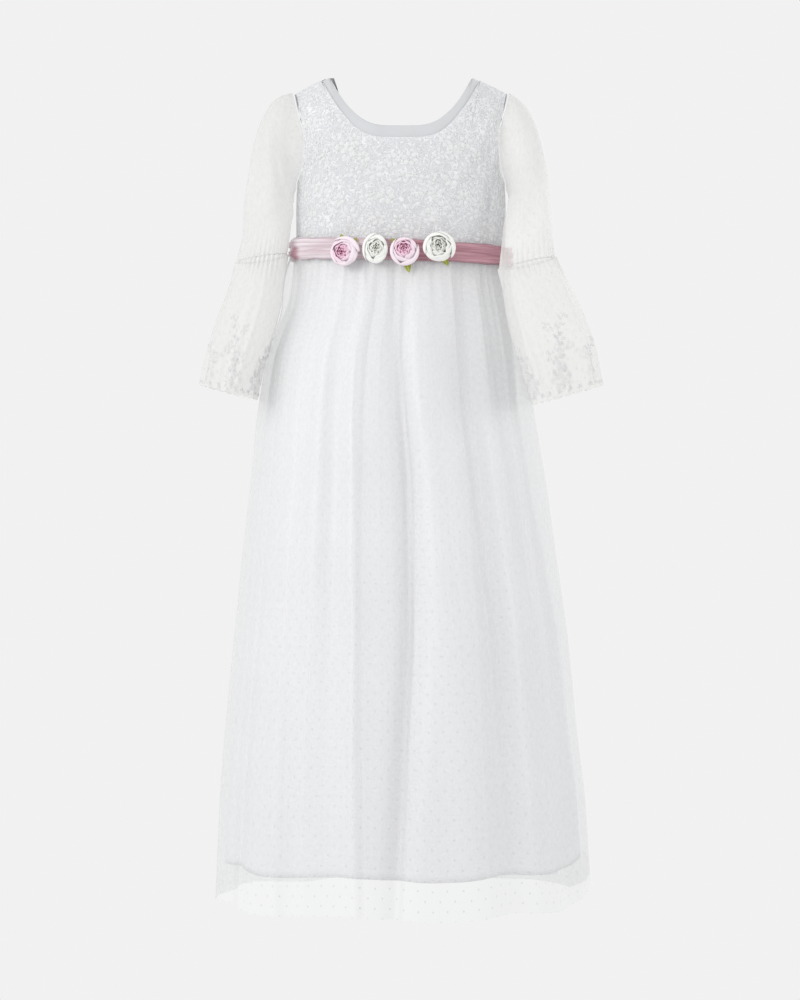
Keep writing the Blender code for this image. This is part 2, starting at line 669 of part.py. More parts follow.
def sash_place(side, up, along):
    angle = -180.0 + 360.0 * along
    out = SASH_STAND_OFF + SASH_HALF_THICKNESS * (1.0 + side)
    point = sash_ring(angle, out)
    if point.y > 0.0:
        point.x = min(point.x, -SEAM / 2) if along < 0.5 else max(point.x, SEAM / 2)
    half_height = SASH_HALF_HEIGHT - SASH_HALF_HEIGHT_MORE_LEFT * sin(radians(angle))
    point.z = -sash_drop(point.x, point.y) + half_height * up
    return point


sash = bmesh.new()
bmesh.ops.create_cone(sash, cap_ends=True, segments=8, radius1=1.0, radius2=1.0, depth=1.0)
long_edges = [edge for edge in sash.edges if abs(edge.verts[0].co.z - edge.verts[1].co.z) > 0.5]
bmesh.ops.subdivide_edges(sash, edges=long_edges, cuts=SASH_CUTS)
bmesh.ops.translate(sash, verts=sash.verts[:], vec=(0.0, 0.0, 0.5))
form(sash, sash_place)
finish("sash", sash, SASH_PINK, 0.8)


def on_sash(x, drop):
    """A flat frame that touches the sash from outside: its middle, its right, its up and its out."""
    out = SASH_STAND_OFF + 2.0 * SASH_HALF_THICKNESS
    turn = asin(x / (BODICE_RINGS[-1].half_width + out))
    middle = sash_ring(degrees(turn), out)
    width = BODICE_RINGS[-1].half_width + out
    depth = BODICE_RINGS[-1].front_depth + out
    outward = Vector((middle.x / width**2, middle.y / depth**2, 0.0)).normalized()
    middle.z = -drop
    up = Vector((0.0, 0.0, 1.0))
    return middle, up.cross(outward).normalized(), up, outward


for rose in ROSES:
    middle, right, up, outward = on_sash(rose.x, rose.drop)
    bloom = bmesh.new()
    rings = len(ROSE_RINGS) - 1
    bmesh.ops.create_uvsphere(bloom, u_segments=18, v_segments=rings, radius=1.0)
    for vert in bloom.verts:
        row = round(rings * Vector((0.0, 0.0, 1.0)).angle(vert.co) / pi)
        ring = ROSE_RINGS[row]
        turn = atan2(vert.co.y, vert.co.x)
        spread = ring.spread * (1.0 - ROSE_FRILL * (1.0 - cos(ROSE_PETALS * turn + row)))
        height = ring.height + ring.swirl * cos(ROSE_SWIRLS * turn - ROSE_TWIST * row)
        height -= ring.foot * ROSE_FOOT / rose.radius
        flat = right * cos(turn) * spread + up * sin(turn) * spread + outward * height
        vert.co = middle + outward * ROSE_OFF_SASH + flat * rose.radius
    finish(rose.name, bloom, ROSE_COLOURS[rose.colour], 0.8)

for number, leaf in enumerate(LEAVES):
    rose = next(rose for rose in ROSES if rose.name == leaf.rose)
    middle, right, up, outward = on_sash(rose.x, rose.drop)
    points_to = right * cos(radians(leaf.points)) + up * sin(radians(leaf.points))
    beside = outward.cross(points_to)

    def leaf_place(u, v, w):
        reach = leaf.start + (leaf.tip - leaf.start) * u
        half_width = max(LEAF_TIP_HALF_WIDTH, LEAF_HALF_WIDTH * sin(pi * min(1.0, u)) ** LEAF_ROUNDNESS)
        off = LEAF_OFF_SASH + LEAF_THICKNESS * (1.0 - w)
        return middle + points_to * reach + beside * half_width * (2.0 * v - 1.0) + outward * off

    blade = cloth_slab(*LEAF_FACES)
    form(blade, leaf_place)
    finish(f"leaf_{number + 1}", blade, LEAF_GREEN, 0.6)
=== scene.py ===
"""The looks of a child's long lace dress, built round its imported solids, hollow as when it is worn."""

from collections import namedtuple
from math import asin, cos, pi, radians, sin

import bmesh
import bpy
import numpy as np
from mathutils import Matrix, Vector


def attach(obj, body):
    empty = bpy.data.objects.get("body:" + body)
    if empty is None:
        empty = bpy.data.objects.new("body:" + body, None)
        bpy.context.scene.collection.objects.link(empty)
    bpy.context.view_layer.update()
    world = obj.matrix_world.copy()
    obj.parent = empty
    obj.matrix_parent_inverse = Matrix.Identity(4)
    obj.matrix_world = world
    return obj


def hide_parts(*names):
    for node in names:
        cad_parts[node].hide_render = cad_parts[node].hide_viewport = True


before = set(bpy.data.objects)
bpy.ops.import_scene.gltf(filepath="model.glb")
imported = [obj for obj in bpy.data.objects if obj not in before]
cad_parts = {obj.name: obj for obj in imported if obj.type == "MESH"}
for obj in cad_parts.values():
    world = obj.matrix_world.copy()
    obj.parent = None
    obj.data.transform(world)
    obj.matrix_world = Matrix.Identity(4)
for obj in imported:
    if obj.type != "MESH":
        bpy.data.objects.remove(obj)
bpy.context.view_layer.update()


# Satin bodice: a front and two back halves of white polyester satin, cut to a high waist seam.
# The front closes round a wide scooped neck, and the two halves meet at centre back.

WAIST_DROP = 0.241
SEAM = 0.0003
SATIN_THICKNESS = 0.0006
SATIN_SLOT = "satin"

NECK_SHARE = 0.64
NECK_SHARE_LACE = 0.08
NECK_SQUARENESS = 3.7
NECK_ROUNDNESS = 0.8
FRONT_NECK_DROP = 0.077
BACK_NECK_DROP = 0.088
LACE_BELOW_NECK = 0.016
SHOULDER_TIP_DROP = 0.023
SHOULDER_ROUND = 0.070

ARMHOLE_DROP = 0.0865
ARMHOLE_HALF_HEIGHT = 0.0635
ARMHOLE_FRONT = 0.044
ARMHOLE_BACK = 0.040


def table(columns, *rows):
    """A short table: its rows, each with its columns named."""
    Row = namedtuple("Row", columns)
    return [Row(*row) for row in rows]


BODICE_RINGS = table(
    "drop half_width front_depth back_depth",
    (0.000, 0.1500, 0.072, 0.066),
    (0.023, 0.1430, 0.080, 0.074),
    (0.045, 0.1380, 0.085, 0.080),
    (0.065, 0.1315, 0.090, 0.084),
    (0.092, 0.1285, 0.095, 0.087),
    (0.125, 0.1310, 0.099, 0.089),
    (0.150, 0.1390, 0.100, 0.089),
    (0.190, 0.1400, 0.097, 0.087),
    (0.241, 0.1395, 0.092, 0.086),
)

# Creases in the bodice: the deep one beside the right side seam, and soft ones that rise from the sash
BODICE_FOLDS = table(
    "x lean top_drop low_drop half_width depth",
    (0.113, 0.00, 0.125, 0.235, 0.0055, 0.0070),
    (-0.122, 0.00, 0.160, 0.238, 0.0060, 0.0025),
    (-0.060, 0.00, 0.190, 0.240, 0.0100, 0.0020),
    (0.070, 0.00, 0.195, 0.240, 0.0100, 0.0020),
    (0.090, -0.55, 0.060, 0.190, 0.0090, -0.0022),
    (-0.094, 0.15, 0.030, 0.100, 0.0070, -0.0012),
    (-0.020, 0.05, 0.200, 0.245, 0.0060, 0.0012),
    (0.018, -0.05, 0.205, 0.245, 0.0050, 0.0012),
    (0.044, -0.08, 0.200, 0.245, 0.0070, 0.0012),
)


def glide(stations, values, at):
    """Values between the rows of a table, smooth from row to row and without overshoot."""
    stations = np.asarray(stations, float)
    last = len(stations) - 1
    values = np.broadcast_to(np.asarray(values, float).reshape(last + 1, -1), (last + 1, at.size))
    at = np.clip(at, stations[0], stations[-1])
    spans = np.diff(stations)
    slopes = np.diff(values, axis=0) / spans[:, None]
    tangents = np.empty_like(values)
    tangents[0], tangents[-1] = slopes[0], slopes[-1]
    above, below = slopes[:-1], slopes[1:]
    same_way = above * below > 0.0
    total = np.where(same_way, above + below, 1.0)
    tangents[1:-1] = np.where(same_way, 2.0 * above * below / total, 0.0)
    row = np.clip(np.searchsorted(stations, at, side="right") - 1, 0, last - 1)
    point = np.arange(at.size)
    t = (at - stations[row]) / spans[row]
    start = values[row, point] * (1.0 + 2.0 * t) + tangents[row, point] * spans[row] * t
    end = values[row + 1, point] * (3.0 - 2.0 * t) + tangents[row + 1, point] * spans[row] * (t - 1.0)
    return start * (1.0 - t) ** 2 + end * t * t


def read(table, column, drop):
    """One column of a table of rings, at any drops."""
    return glide([row.drop for row in table], [getattr(row, column) for row in table], drop)


def bump(distance, half_width):
    return np.exp(-((distance / half_width) ** 2))


def shoulder_drop(across):
    return SHOULDER_TIP_DROP * np.maximum(0.0, (np.abs(across) - NECK_SHARE) / (1.0 - NECK_SHARE))


def neck_drop(across, neck_share, lowest):
    inside = np.minimum(1.0, np.abs(across) / neck_share)
    return lowest * (1.0 - inside**NECK_SQUARENESS) ** NECK_ROUNDNESS


def bodice_point(turn, drop, back=False):
    """The outer side of the satin, with turn in radians from the middle of a panel."""
    across = np.sin(turn)
    x = across * read(BODICE_RINGS, "half_width", drop)
    depth = read(BODICE_RINGS, "back_depth" if back else "front_depth", drop)
    rounded = np.clip((drop - shoulder_drop(across)) / SHOULDER_ROUND, 0.0, 1.0)
    share = (drop - ARMHOLE_DROP) / ARMHOLE_HALF_HEIGHT
    eased = 0.5 + 0.7 * np.minimum(1.0, np.cos(turn) / 0.3)
    armhole = (ARMHOLE_BACK if back else ARMHOLE_FRONT) * np.maximum(0.0, 1.0 - share * share) ** eased
    reach = armhole + (depth * np.sqrt(1.0 - (1.0 - rounded) ** 2) - armhole) * np.cos(turn)
    if not back:
        for fold in BODICE_FOLDS:
            middle = 0.5 * (fold.top_drop + fold.low_drop)
            length = 0.5 * (fold.low_drop - fold.top_drop)
            away = x - fold.x - fold.lean * (drop - middle)
            reach = reach - fold.depth * bump(away, fold.half_width) * bump(drop - middle, length)
    return np.stack((x, reach if back else -reach, -drop), 1)


def raised(surface, across, down, distance, across_step, down_step):
    """Points of a surface moved out along its normal."""
    here = surface(across, down)
    along = surface(across, down + down_step) - here
    sideways = surface(across + across_step, down) - surface(across - across_step, down)
    normal = np.cross(along, sideways)
    normal /= np.linalg.norm(normal, axis=1)[:, None] + 1e-12
    return here + normal * np.reshape(distance, (-1, 1))


def on_bodice(turn, drop, back, distance):
    """A point at a distance outside the satin."""
    out = -distance if back else distance
    return raised(lambda a, d: bodice_point(a, d, back), turn, drop, out, 0.005, 0.0005)


def to_piece(name, bm):
    """A smooth piece from a mesh in the making, which rides on the dress."""
    for face in bm.faces:
        face.smooth = True
    mesh = bpy.data.meshes.new(name)
    bm.to_mesh(mesh)
    bm.free()
    piece = bpy.data.objects.new(name, mesh)
    bpy.context.scene.collection.objects.link(piece)
    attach(piece, "root")
    return piece


def sew(name, place, columns, rows, count=1, closed=False, flip=False):
    """A mesh of grids, with each point placed by its share across, its share up and its grid's number."""
    bm = bmesh.new()
    bm.loops.layers.uv.new("cloth")
    for number in range(count):
        where = Matrix.Translation((0.5, 0.5, number))
        bmesh.ops.create_grid(bm, x_segments=columns, y_segments=rows, size=0.5, matrix=where, calc_uvs=True)
    flat = np.array([vert.co for vert in bm.verts])
    for vert, point in zip(bm.verts, place(flat[:, 0], flat[:, 1], np.rint(flat[:, 2]).astype(int))):
        vert.co = point
    if closed:
        bmesh.ops.remove_doubles(bm, verts=bm.verts[:], dist=1e-6)
    if flip:
        bmesh.ops.reverse_faces(bm, faces=bm.faces[:])
    return to_piece(name, bm)


def dress(piece, material, slot, *nodes):
    """Gives a piece its material, and hides the solids that it stands for; its slot is not used."""
    piece.data.materials.append(material)
    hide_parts(*nodes)


def thicken(piece, thickness):
    wall = piece.modifiers.new("cloth thickness", "SOLIDIFY")
    wall.thickness = thickness
    wall.offset = -1.0


def linear(hex_colour):
    """An sRGB hex colour as the linear values that a shader takes."""
    channels = [int(hex_colour[place : place + 2], 16) / 255.0 for place in (1, 3, 5)]
    return [c / 12.92 if c <= 0.04045 else ((c + 0.055) / 1.055) ** 2.4 for c in channels] + [1.0]


def cloth_material(name, colour, roughness, **sockets):
    """A new material with its constant values on the shader's own sockets."""
    made = bpy.data.materials.new(name)
    made.use_nodes = True
    shader = made.node_tree.nodes["Principled BSDF"]
    shader.inputs["Base Color"].default_value = linear(colour)
    shader.inputs["Roughness"].default_value = roughness
    for socket, value in sockets.items():
        shader.inputs[socket.replace("_", " ")].default_value = value
    return made, made.node_tree, shader


def add_node(tree, kind, links=(), **settings):
    """Adds a shader node with its settings, and joins sockets or values to its inputs."""
    node = tree.nodes.new(kind)
    for setting, value in settings.items():
        setattr(node, setting, value)
    for socket, value in dict(links).items():
        if isinstance(value, bpy.types.NodeSocket):
            tree.links.new(value, node.inputs[socket])
        else:
            node.inputs[socket].default_value = value
    return node


def cloth_place(tree, kind, scale=None):
    """Where a texture lies: in a piece's metres (Object) or shares of its cloth (UV), times a scale."""
    place = add_node(tree, "ShaderNodeTexCoord").outputs[kind]
    if scale is None:
        return place
    return add_node(tree, "ShaderNodeMapping", {"Vector": place, "Scale": scale}).outputs[0]


def noise(tree, place, scale, detail, distortion=0.0):
    sockets = {"Vector": place, "Scale": scale, "Detail": detail, "Distortion": distortion}
    return add_node(tree, "ShaderNodeTexNoise", sockets).outputs["Fac"]


def maths(tree, operation, *values):
    return add_node(tree, "ShaderNodeMath", dict(enumerate(values)), operation=operation).outputs[0]


def distance(tree, place, spot):
    return add_node(tree, "ShaderNodeVectorMath", {0: place, 1: spot}, operation="DISTANCE").outputs["Value"]


def part_of(tree, place, axis):
    return add_node(tree, "ShaderNodeSeparateXYZ", {0: place}).outputs[axis]


def ramp(tree, value, low, high, at_low=0.0, at_high=1.0, kind="LINEAR"):
    """Turns a value between low and high into one between at_low and at_high."""
    sockets = {"Value": value, "From Min": low, "From Max": high, "To Min": at_low, "To Max": at_high}
    return add_node(tree, "ShaderNodeMapRange", sockets, interpolation_type=kind).outputs[0]


def blend(tree, share, first, second, kind="MIX"):
    """A share of the way from a first colour, a hex one or a socket, to a second."""
    start = first if isinstance(first, bpy.types.NodeSocket) else linear(first)
    sockets = {0: share, 6: start, 7: linear(second)}
    return add_node(tree, "ShaderNodeMix", sockets, data_type="RGBA", blend_type=kind).outputs[2]


def weave(tree, shader, colour, raised_by, strength, height, cover=None):
    """Joins a cloth's colour, its relief, with its height in metres, and its cover to the shader."""
    relief = add_node(tree, "ShaderNodeBump", {"Height": raised_by, "Strength": strength, "Distance": height})
    tree.links.new(colour, shader.inputs["Base Color"])
    tree.links.new(relief.outputs[0], shader.inputs["Normal"])
    if cover is not None:
        tree.links.new(cover, shader.inputs["Alpha"])


def satin_cloth(name, dark, light, cloudiness):
    """Polyester satin, woven with long floats: a soft sheen along the folds, and faint slubs across it."""
    made, tree, shader = cloth_material(name, light, 0.38, Sheen_Weight=0.2, Specular_IOR_Level=0.5)
    slubs = noise(tree, cloth_place(tree, "Object", (120.0, 120.0, 700.0)), 1.0, 2.0)
    clouds = noise(tree, cloth_place(tree, "Object"), cloudiness, 2.0)
    weave(tree, shader, blend(tree, clouds, dark, light), slubs, 0.04, 0.0004)
    return made


# The bodice satin is the same cloth as the lining satin, painted darker here: painted shade, standing in for
# the dim surroundings that it reflects
satin = satin_cloth("bodice satin", "#C9CBCE", "#D6D8DA", 22.0)

# How much of the half turn each kind of panel spans, from the viewer's left to right as seen from the front
HALF_SPAN = {"both": (-1.0, 1.0), "left": (-1.0, 0.0), "right": (0.0, 1.0)}


def keep_side(points, axis, side):
    """Keeps a piece on its own side of a seam."""
    points[:, axis] = side * np.maximum(side * points[:, axis], SEAM / 2)


def panel_place(panel, neck_share, neck_low, off):
    """How a bodice panel lies: down each column at equal lengths of cloth, from neck edge to waist."""
    first, last = HALF_SPAN[panel.half]
    turns = np.radians(np.linspace(90.0 * first, 90.0 * last, panel.columns + 1))
    across = np.sin(turns)
    tops = np.maximum(shoulder_drop(across), neck_drop(across, neck_share, neck_low))
    samples = np.linspace(0.0, 1.0, 121) ** 2
    drops = tops[:, None] + (WAIST_DROP - tops)[:, None] * samples
    spread = np.repeat(turns, samples.size)
    line = bodice_point(spread, drops.ravel(), panel.back).reshape(turns.size, samples.size, 3)
    lengths = np.cumsum(np.linalg.norm(np.diff(line, axis=1), axis=2), axis=1)
    lengths = np.hstack((np.zeros((turns.size, 1)), lengths))
    shares = np.linspace(1.0, 0.0, PANEL_ROWS + 1)
    even_drops = np.array([np.interp(shares * long[-1], long, drop) for long, drop in zip(lengths, drops)])

    def place(u, v, number):
        column, row = np.rint(u * panel.columns).astype(int), np.rint(v * PANEL_ROWS).astype(int)
        points = on_bodice(turns[column], even_drops[column, row], panel.back, off)
        keep_side(points, 1, 1.0 if panel.back else -1.0)
        if panel.half != "both":
            keep_side(points, 0, first + last)
        return points

    return place


BODICE_PANELS = table(
    "node half back neck_share neck_low flat area columns",
    ("front", "both", False, NECK_SHARE, FRONT_NECK_DROP, (0.400, 0.290), 0.075, 160),
    ("back_left", "left", True, 0.60, BACK_NECK_DROP, (0.195, 0.285), 0.038, 80),
    ("back_right", "right", True, 0.66, BACK_NECK_DROP, (0.195, 0.285), 0.038, 80),
)
PANEL_ROWS = 90
for panel in BODICE_PANELS:
    lay = panel_place(panel, panel.neck_share, panel.neck_low, 0.0)
    piece = sew(f"satin_{panel.node}", lay, panel.columns, PANEL_ROWS, flip=panel.back)
    dress(piece, satin, SATIN_SLOT, f"bodice_{panel.node}")
    thicken(piece, SATIN_THICKNESS)


# Lace overlay: corded flower lace laid over the satin, stopping short of a plain band at the neck.
# A fine net carries flowers and leaf sprays that are filled with satin stitch and stand a little proud.

LACE_OFF = 0.0014
LACE_SLOT = "lace"
NET_MM = 2.4
NET_COVER = 0.72
BODICE_ARC = 0.121
PANEL_REACH = 1.45 * BODICE_ARC
LACE_PETAL_HEIGHT = 0.0006
STITCH_OFF = 0.0001

FLOWER_ROWS = 8
FLOWER_TOP_DROP = 0.040
FLOWER_ROW_STEP = 0.026
FLOWER_COLUMNS = 7
FLOWER_STEP = 0.029
FLOWER_SIZE = 0.019
VINE_LEAVES = 5
VINE_STEP = 0.0046
VINE_LEAF = 0.0062
STEM_WIDTH = 0.0011
SPRAYS_BELOW_NECK = 0.019
SPRAYS_OFF_SEAM = 0.006

lace, tree, shader = cloth_material("corded flower lace", "#E4E6E9", 0.85, Sheen_Weight=0.2)
place = cloth_place(tree, "Object")
# The net's real holes are 1.2 mm across, too fine to show, so they are drawn NET_MM across
net = add_node(
    tree,
    "ShaderNodeTexVoronoi",
    {"Vector": place, "Scale": 1000.0 / NET_MM, "Randomness": 0.8},
    feature="DISTANCE_TO_EDGE",
)
threads = ramp(tree, net.outputs["Distance"], 0.05, 0.35, 0.55, 0.0)
# Cords that wander between the flowers
scrolls = noise(tree, place, 85.0, 1.0, distortion=1.4)
cords = ramp(tree, maths(tree, "ABSOLUTE", maths(tree, "SUBTRACT", scrolls, 0.5)), 0.015, 0.060, 1.0, 0.0)
both = maths(tree, "MAXIMUM", threads, cords)
cover = ramp(tree, both, 0.0, 1.0, NET_COVER, 1.0)
weave(tree, shader, blend(tree, both, "#E1E3E6", "#ECEDEF"), both, 0.2, 0.0006, cover)


def stitch_cloth(name, cover_share):
    """Satin stitch: close threads side by side over a padding, with painted highlight on top and painted
    shade at their ends.
    """
    made, tree, shader = cloth_material(name, "#F5F5F5", 0.7, Sheen_Weight=0.3, Alpha=cover_share)
    place = cloth_place(tree, "UV", (1.0, 14.0, 1.0))
    sockets = {"Vector": place, "Scale": 1.0, "Distortion": 0.6}
    threads = add_node(tree, "ShaderNodeTexWave", sockets, bands_direction="Y").outputs["Fac"]
    weave(tree, shader, blend(tree, threads, "#E3E4E5", "#F0F0F0"), threads, 0.4, 0.0003)
    return made


stitch = stitch_cloth("satin stitch", 1.0)

Spray = namedtuple("Spray", "across down heading long wide")


def petal(spray, u, v, high):
    """Small filled petals, one for each row of sprays: how far sideways, down and out they lie."""
    edge = np.sin(pi * np.clip(u, 0.0, 1.0)) ** 0.6
    along = spray[:, 3] * u
    across = spray[:, 4] * (v - 0.5) * edge
    heading = np.radians(spray[:, 2])
    sideways = spray[:, 0] + along * np.sin(heading) + across * np.cos(heading)
    down = spray[:, 1] + along * np.cos(heading) - across * np.sin(heading)
    return sideways, down, high * (1.0 - (2.0 * v - 1.0) ** 2) * edge


def flower(across, down, size, first, petals):
    """The petals round a flower's heart."""
    turns = [first + 360.0 * number / petals for number in range(petals)]
    start, long, wide = 0.12 * size, 0.42 * size, 0.30 * size
    return [
        Spray(across + start * sin(radians(turn)), down + start * cos(radians(turn)), turn, long, wide)
        for turn in turns
    ]


def vine(across, down, heading, bend, leaves, step, size):
    """Leaves to the left and right of a stem that curves away."""
    sprays = []
    for number in range(leaves):
        heading += bend
        across += step * sin(radians(heading))
        down += step * cos(radians(heading))
        side = 48.0 if number % 2 else -48.0
        sprays.append(Spray(across, down, heading + side, size, 0.45 * size))
        sprays.append(Spray(across, down, heading, 1.1 * step, STEM_WIDTH))
    return sprays


def lace_sprays(half):
    """Staggered flowers with a vine from each, over a whole panel, in metres across and down."""
    sprays = []
    for row in range(FLOWER_ROWS):
        for column in range(-FLOWER_COLUMNS, FLOWER_COLUMNS + 1):
            across = FLOWER_STEP * column + (0.5 * FLOWER_STEP if row % 2 else 0.0)
            mirror = -1.0 if across < 0.0 else 1.0
            # Each flower is a little off its place and its size
            across += 0.004 * sin(3.1 * column + 1.7 * row)
            down = FLOWER_TOP_DROP + FLOWER_ROW_STEP * row + 0.006 * sin(5.1 * column + 2.3 * row)
            size = FLOWER_SIZE + 0.003 * sin(2.3 * column + 0.9 * row)
            sprays += flower(across, down, size, 40.0 * column + 25.0 * row, 5 + row % 2)
            heading = mirror * (60.0 + 20.0 * sin(row + column))
            sprays += vine(across, down, heading, mirror * 26.0, VINE_LEAVES, VINE_STEP, VINE_LEAF)
    first, last = HALF_SPAN[half]
    low = first * PANEL_REACH + SPRAYS_OFF_SEAM * (first == 0.0)
    high = last * PANEL_REACH - SPRAYS_OFF_SEAM * (last == 0.0)
    kept = []
    for spray in sprays:
        share = sin(min(pi / 2, max(-pi / 2, spray.across / BODICE_ARC)))
        neck = neck_drop(share, NECK_SHARE + NECK_SHARE_LACE, FRONT_NECK_DROP)
        top = SPRAYS_BELOW_NECK + max(float(shoulder_drop(share)), float(neck))
        if low < spray.across < high and top < spray.down < WAIST_DROP - SPRAYS_OFF_SEAM:
            kept.append(spray)
    return kept


for panel in BODICE_PANELS:
    lay = panel_place(panel, panel.neck_share + NECK_SHARE_LACE, panel.neck_low + LACE_BELOW_NECK, LACE_OFF)
    piece = sew(f"lace_net_{panel.node}", lay, panel.columns, PANEL_ROWS, flip=panel.back)
    dress(piece, lace, LACE_SLOT, f"lace_{panel.node}")

    sprays = np.array(lace_sprays(panel.half))

    def stitched(u, v, number):
        sideways, down, height = petal(sprays[number], u, v, LACE_PETAL_HEIGHT)
        turn = np.clip(sideways / BODICE_ARC, -pi / 2, pi / 2)
        return on_bodice(turn, np.clip(down, 0.02, WAIST_DROP), panel.back, LACE_OFF + STITCH_OFF + height)

    flowers = sew(f"lace_flowers_{panel.node}", stitched, 4, 4, count=len(sprays), flip=not panel.back)
    dress(flowers, stitch, LACE_SLOT)


# Centre back: a narrow satin placket over the closing, with five small satin-covered buttons on it.
# The buttons are domed moulds covered in the same satin and sewn on.

PLACKET_HALF_WIDTH = 0.008
PLACKET_OFF = 0.0034
PLACKET_LOW_DROP = 0.2400
BUTTONS = 5
BUTTON_TOP_DROP = 0.098
BUTTON_SPACING = 0.028
BUTTON_RADIUS = 0.0055
BUTTON_HEIGHT = 0.0036
BUTTON_DOME = 0.72
BUTTON_FOOT = 0.28
BUTTON_PLEATS = 12.0
BUTTON_PLEAT_DEPTH = 0.03


def placket_lies(u, v, number):
    drop = PLACKET_LOW_DROP + (BACK_NECK_DROP + SEAM - PLACKET_LOW_DROP) * v
    across = 2.0 * u - 1.0
    turn = PLACKET_HALF_WIDTH * across / read(BODICE_RINGS, "half_width", drop)
    edge_roll = 0.0006 * (1.0 - across**8)
    topstitch = 0.0004 * bump(np.abs(across) - 0.78, 0.06)
    return on_bodice(turn, drop, True, PLACKET_OFF - 0.0008 + edge_roll - topstitch)


placket = sew("placket_strip", placket_lies, 32, 60, flip=True)
dress(placket, satin, SATIN_SLOT, "back_placket")
thicken(placket, SATIN_THICKNESS)

for number in range(BUTTONS):
    drop = np.array([BUTTON_TOP_DROP + BUTTON_SPACING * number])
    foot = Vector(on_bodice(np.zeros(1), drop, True, PLACKET_OFF + SEAM)[0])
    outward = (Vector(on_bodice(np.zeros(1), drop, True, 2.0 * PLACKET_OFF)[0]) - foot).normalized()
    bm = bmesh.new()
    bm.loops.layers.uv.new("cloth")
    bmesh.ops.create_uvsphere(bm, u_segments=28, v_segments=16, radius=1.0, calc_uvs=True)
    for vert in bm.verts:
        x, y, up = vert.co
        pleat = BUTTON_PLEAT_DEPTH * bump(up + 0.35, 0.3) * sin(BUTTON_PLEATS * np.arctan2(y, x))
        height = (BUTTON_DOME if up > 0.0 else BUTTON_FOOT) * up + BUTTON_FOOT + 0.02 * (x**2 + y**2) ** 0.5
        vert.co = Vector((x * (1.0 + pleat), y * (1.0 + pleat), height))
    bmesh.ops.scale(bm, verts=bm.verts[:], vec=(BUTTON_RADIUS, BUTTON_RADIUS, BUTTON_HEIGHT))
    turned = Vector((0.0, 0.0, 1.0)).rotation_difference(outward).to_matrix().to_4x4()
    bmesh.ops.transform(bm, matrix=Matrix.Translation(foot) @ turned, verts=bm.verts[:])
    button = to_piece(f"covered_button_{number + 1}", bm)
    dress(button, satin, "button", f"button_{number + 1}")


# Skirt lining: two panels of the same satin, gathered into the waist seam and turned up at the hem.
# It is the shorter layer, and its soft folds show through the overskirt.

OVERSKIRT_DROP = 1.105
LINING_DROP = 1.057
SKIRT_RINGS = table(
    "drop half_width front_depth back_depth middle lining_gap lining_shift",
    (0.241, 0.1411, 0.0936, 0.0876, 0.0000, 0.0016, 0.000),
    (0.270, 0.1440, 0.0970, 0.0910, 0.0000, 0.0040, 0.000),
    (0.300, 0.1500, 0.1030, 0.0970, 0.0000, 0.0065, 0.000),
    (0.340, 0.1635, 0.1100, 0.1050, -0.0030, 0.0100, -0.001),
    (0.380, 0.1755, 0.1180, 0.1130, -0.0060, 0.0130, -0.003),
    (0.450, 0.1865, 0.1300, 0.1260, -0.0065, 0.0160, -0.005),
    (0.543, 0.1990, 0.1430, 0.1400, -0.0035, 0.0160, -0.005),
    (0.651, 0.2125, 0.1570, 0.1540, -0.0020, 0.0140, -0.003),
    (0.759, 0.2255, 0.1700, 0.1670, 0.0000, 0.0130, 0.000),
    (0.867, 0.2360, 0.1820, 0.1790, 0.0000, 0.0120, 0.000),
    (0.975, 0.2464, 0.1940, 0.1900, 0.0020, 0.0110, 0.000),
    (1.105, 0.2530, 0.2060, 0.2020, 0.0030, 0.0110, 0.000),
)

# Long folds: their angles in degrees from the front towards +X at the waist, the middle and the hem,
# and how far they rise there
FOLD_COLUMNS = "waist_angle middle_angle hem_angle half_width waist middle hem"
SKIRT_FOLDS = table(
    FOLD_COLUMNS,
    (-1.0, 6.0, -2.0, 4.5, -0.001, -0.014, -0.016),
    (-18.0, -17.0, -14.5, 3.5, 0.001, 0.005, 0.006),
    (-27.0, -26.0, -25.0, 4.0, 0.0, -0.003, -0.002),
    (-34.0, -35.0, -36.0, 4.5, 0.0, 0.002, -0.007),
    (-50.0, -50.0, -50.0, 6.0, 0.001, 0.004, 0.006),
    (-69.0, -68.0, -67.0, 5.0, -0.001, -0.005, -0.008),
    (12.0, 17.5, 21.0, 8.0, 0.001, 0.012, 0.017),
    (31.0, 35.5, 35.0, 4.5, -0.002, -0.013, -0.006),
    (44.0, 43.0, 43.0, 6.0, 0.001, 0.004, 0.007),
    (60.0, 61.0, 62.0, 5.0, -0.001, -0.006, -0.008),
    (76.0, 76.0, 76.0, 5.0, 0.0, 0.002, 0.004),
    (106.0, 107.0, 108.0, 5.0, -0.001, -0.005, -0.008),
    (124.0, 125.0, 124.0, 6.0, 0.001, 0.005, 0.007),
    (142.0, 140.0, 141.0, 5.0, -0.001, -0.008, -0.006),
    (160.0, 158.0, 157.0, 6.0, 0.001, 0.004, 0.007),
    (176.0, 178.0, 175.0, 5.0, -0.001, -0.007, -0.009),
    (194.0, 193.0, 195.0, 6.0, 0.001, 0.005, 0.006),
    (212.0, 214.0, 213.0, 5.0, -0.001, -0.008, -0.006),
    (231.0, 230.0, 232.0, 6.0, 0.001, 0.004, 0.007),
    (250.0, 249.0, 250.0, 5.0, -0.001, -0.006, -0.008),
)
FOLD_STATIONS = (WAIST_DROP, 0.56, OVERSKIRT_DROP)
FOLD_START = 0.05
HEM_LIFT = 0.028
LINING_LIFT = 0.016
HEM_LIFT_ANGLE = 88.0
HEM_LIFT_HALF_WIDTH = 18.0
HEM_RIPPLE = 0.003
HEM_RIPPLES = 7.0
HEM_RIPPLE_START = 40.0
LINING_HEM_WIDTH = 0.012
LINING_THICKNESS = 0.0005

# Waves round the cloth: how high, how many, and how their spacing drifts
Waves = namedtuple("Waves", "height count drift drifts")
LINING_GATHERS = Waves(0.0009, 46.0, 1.7, 4.0)
LINING_GATHERS_LOW = 0.05


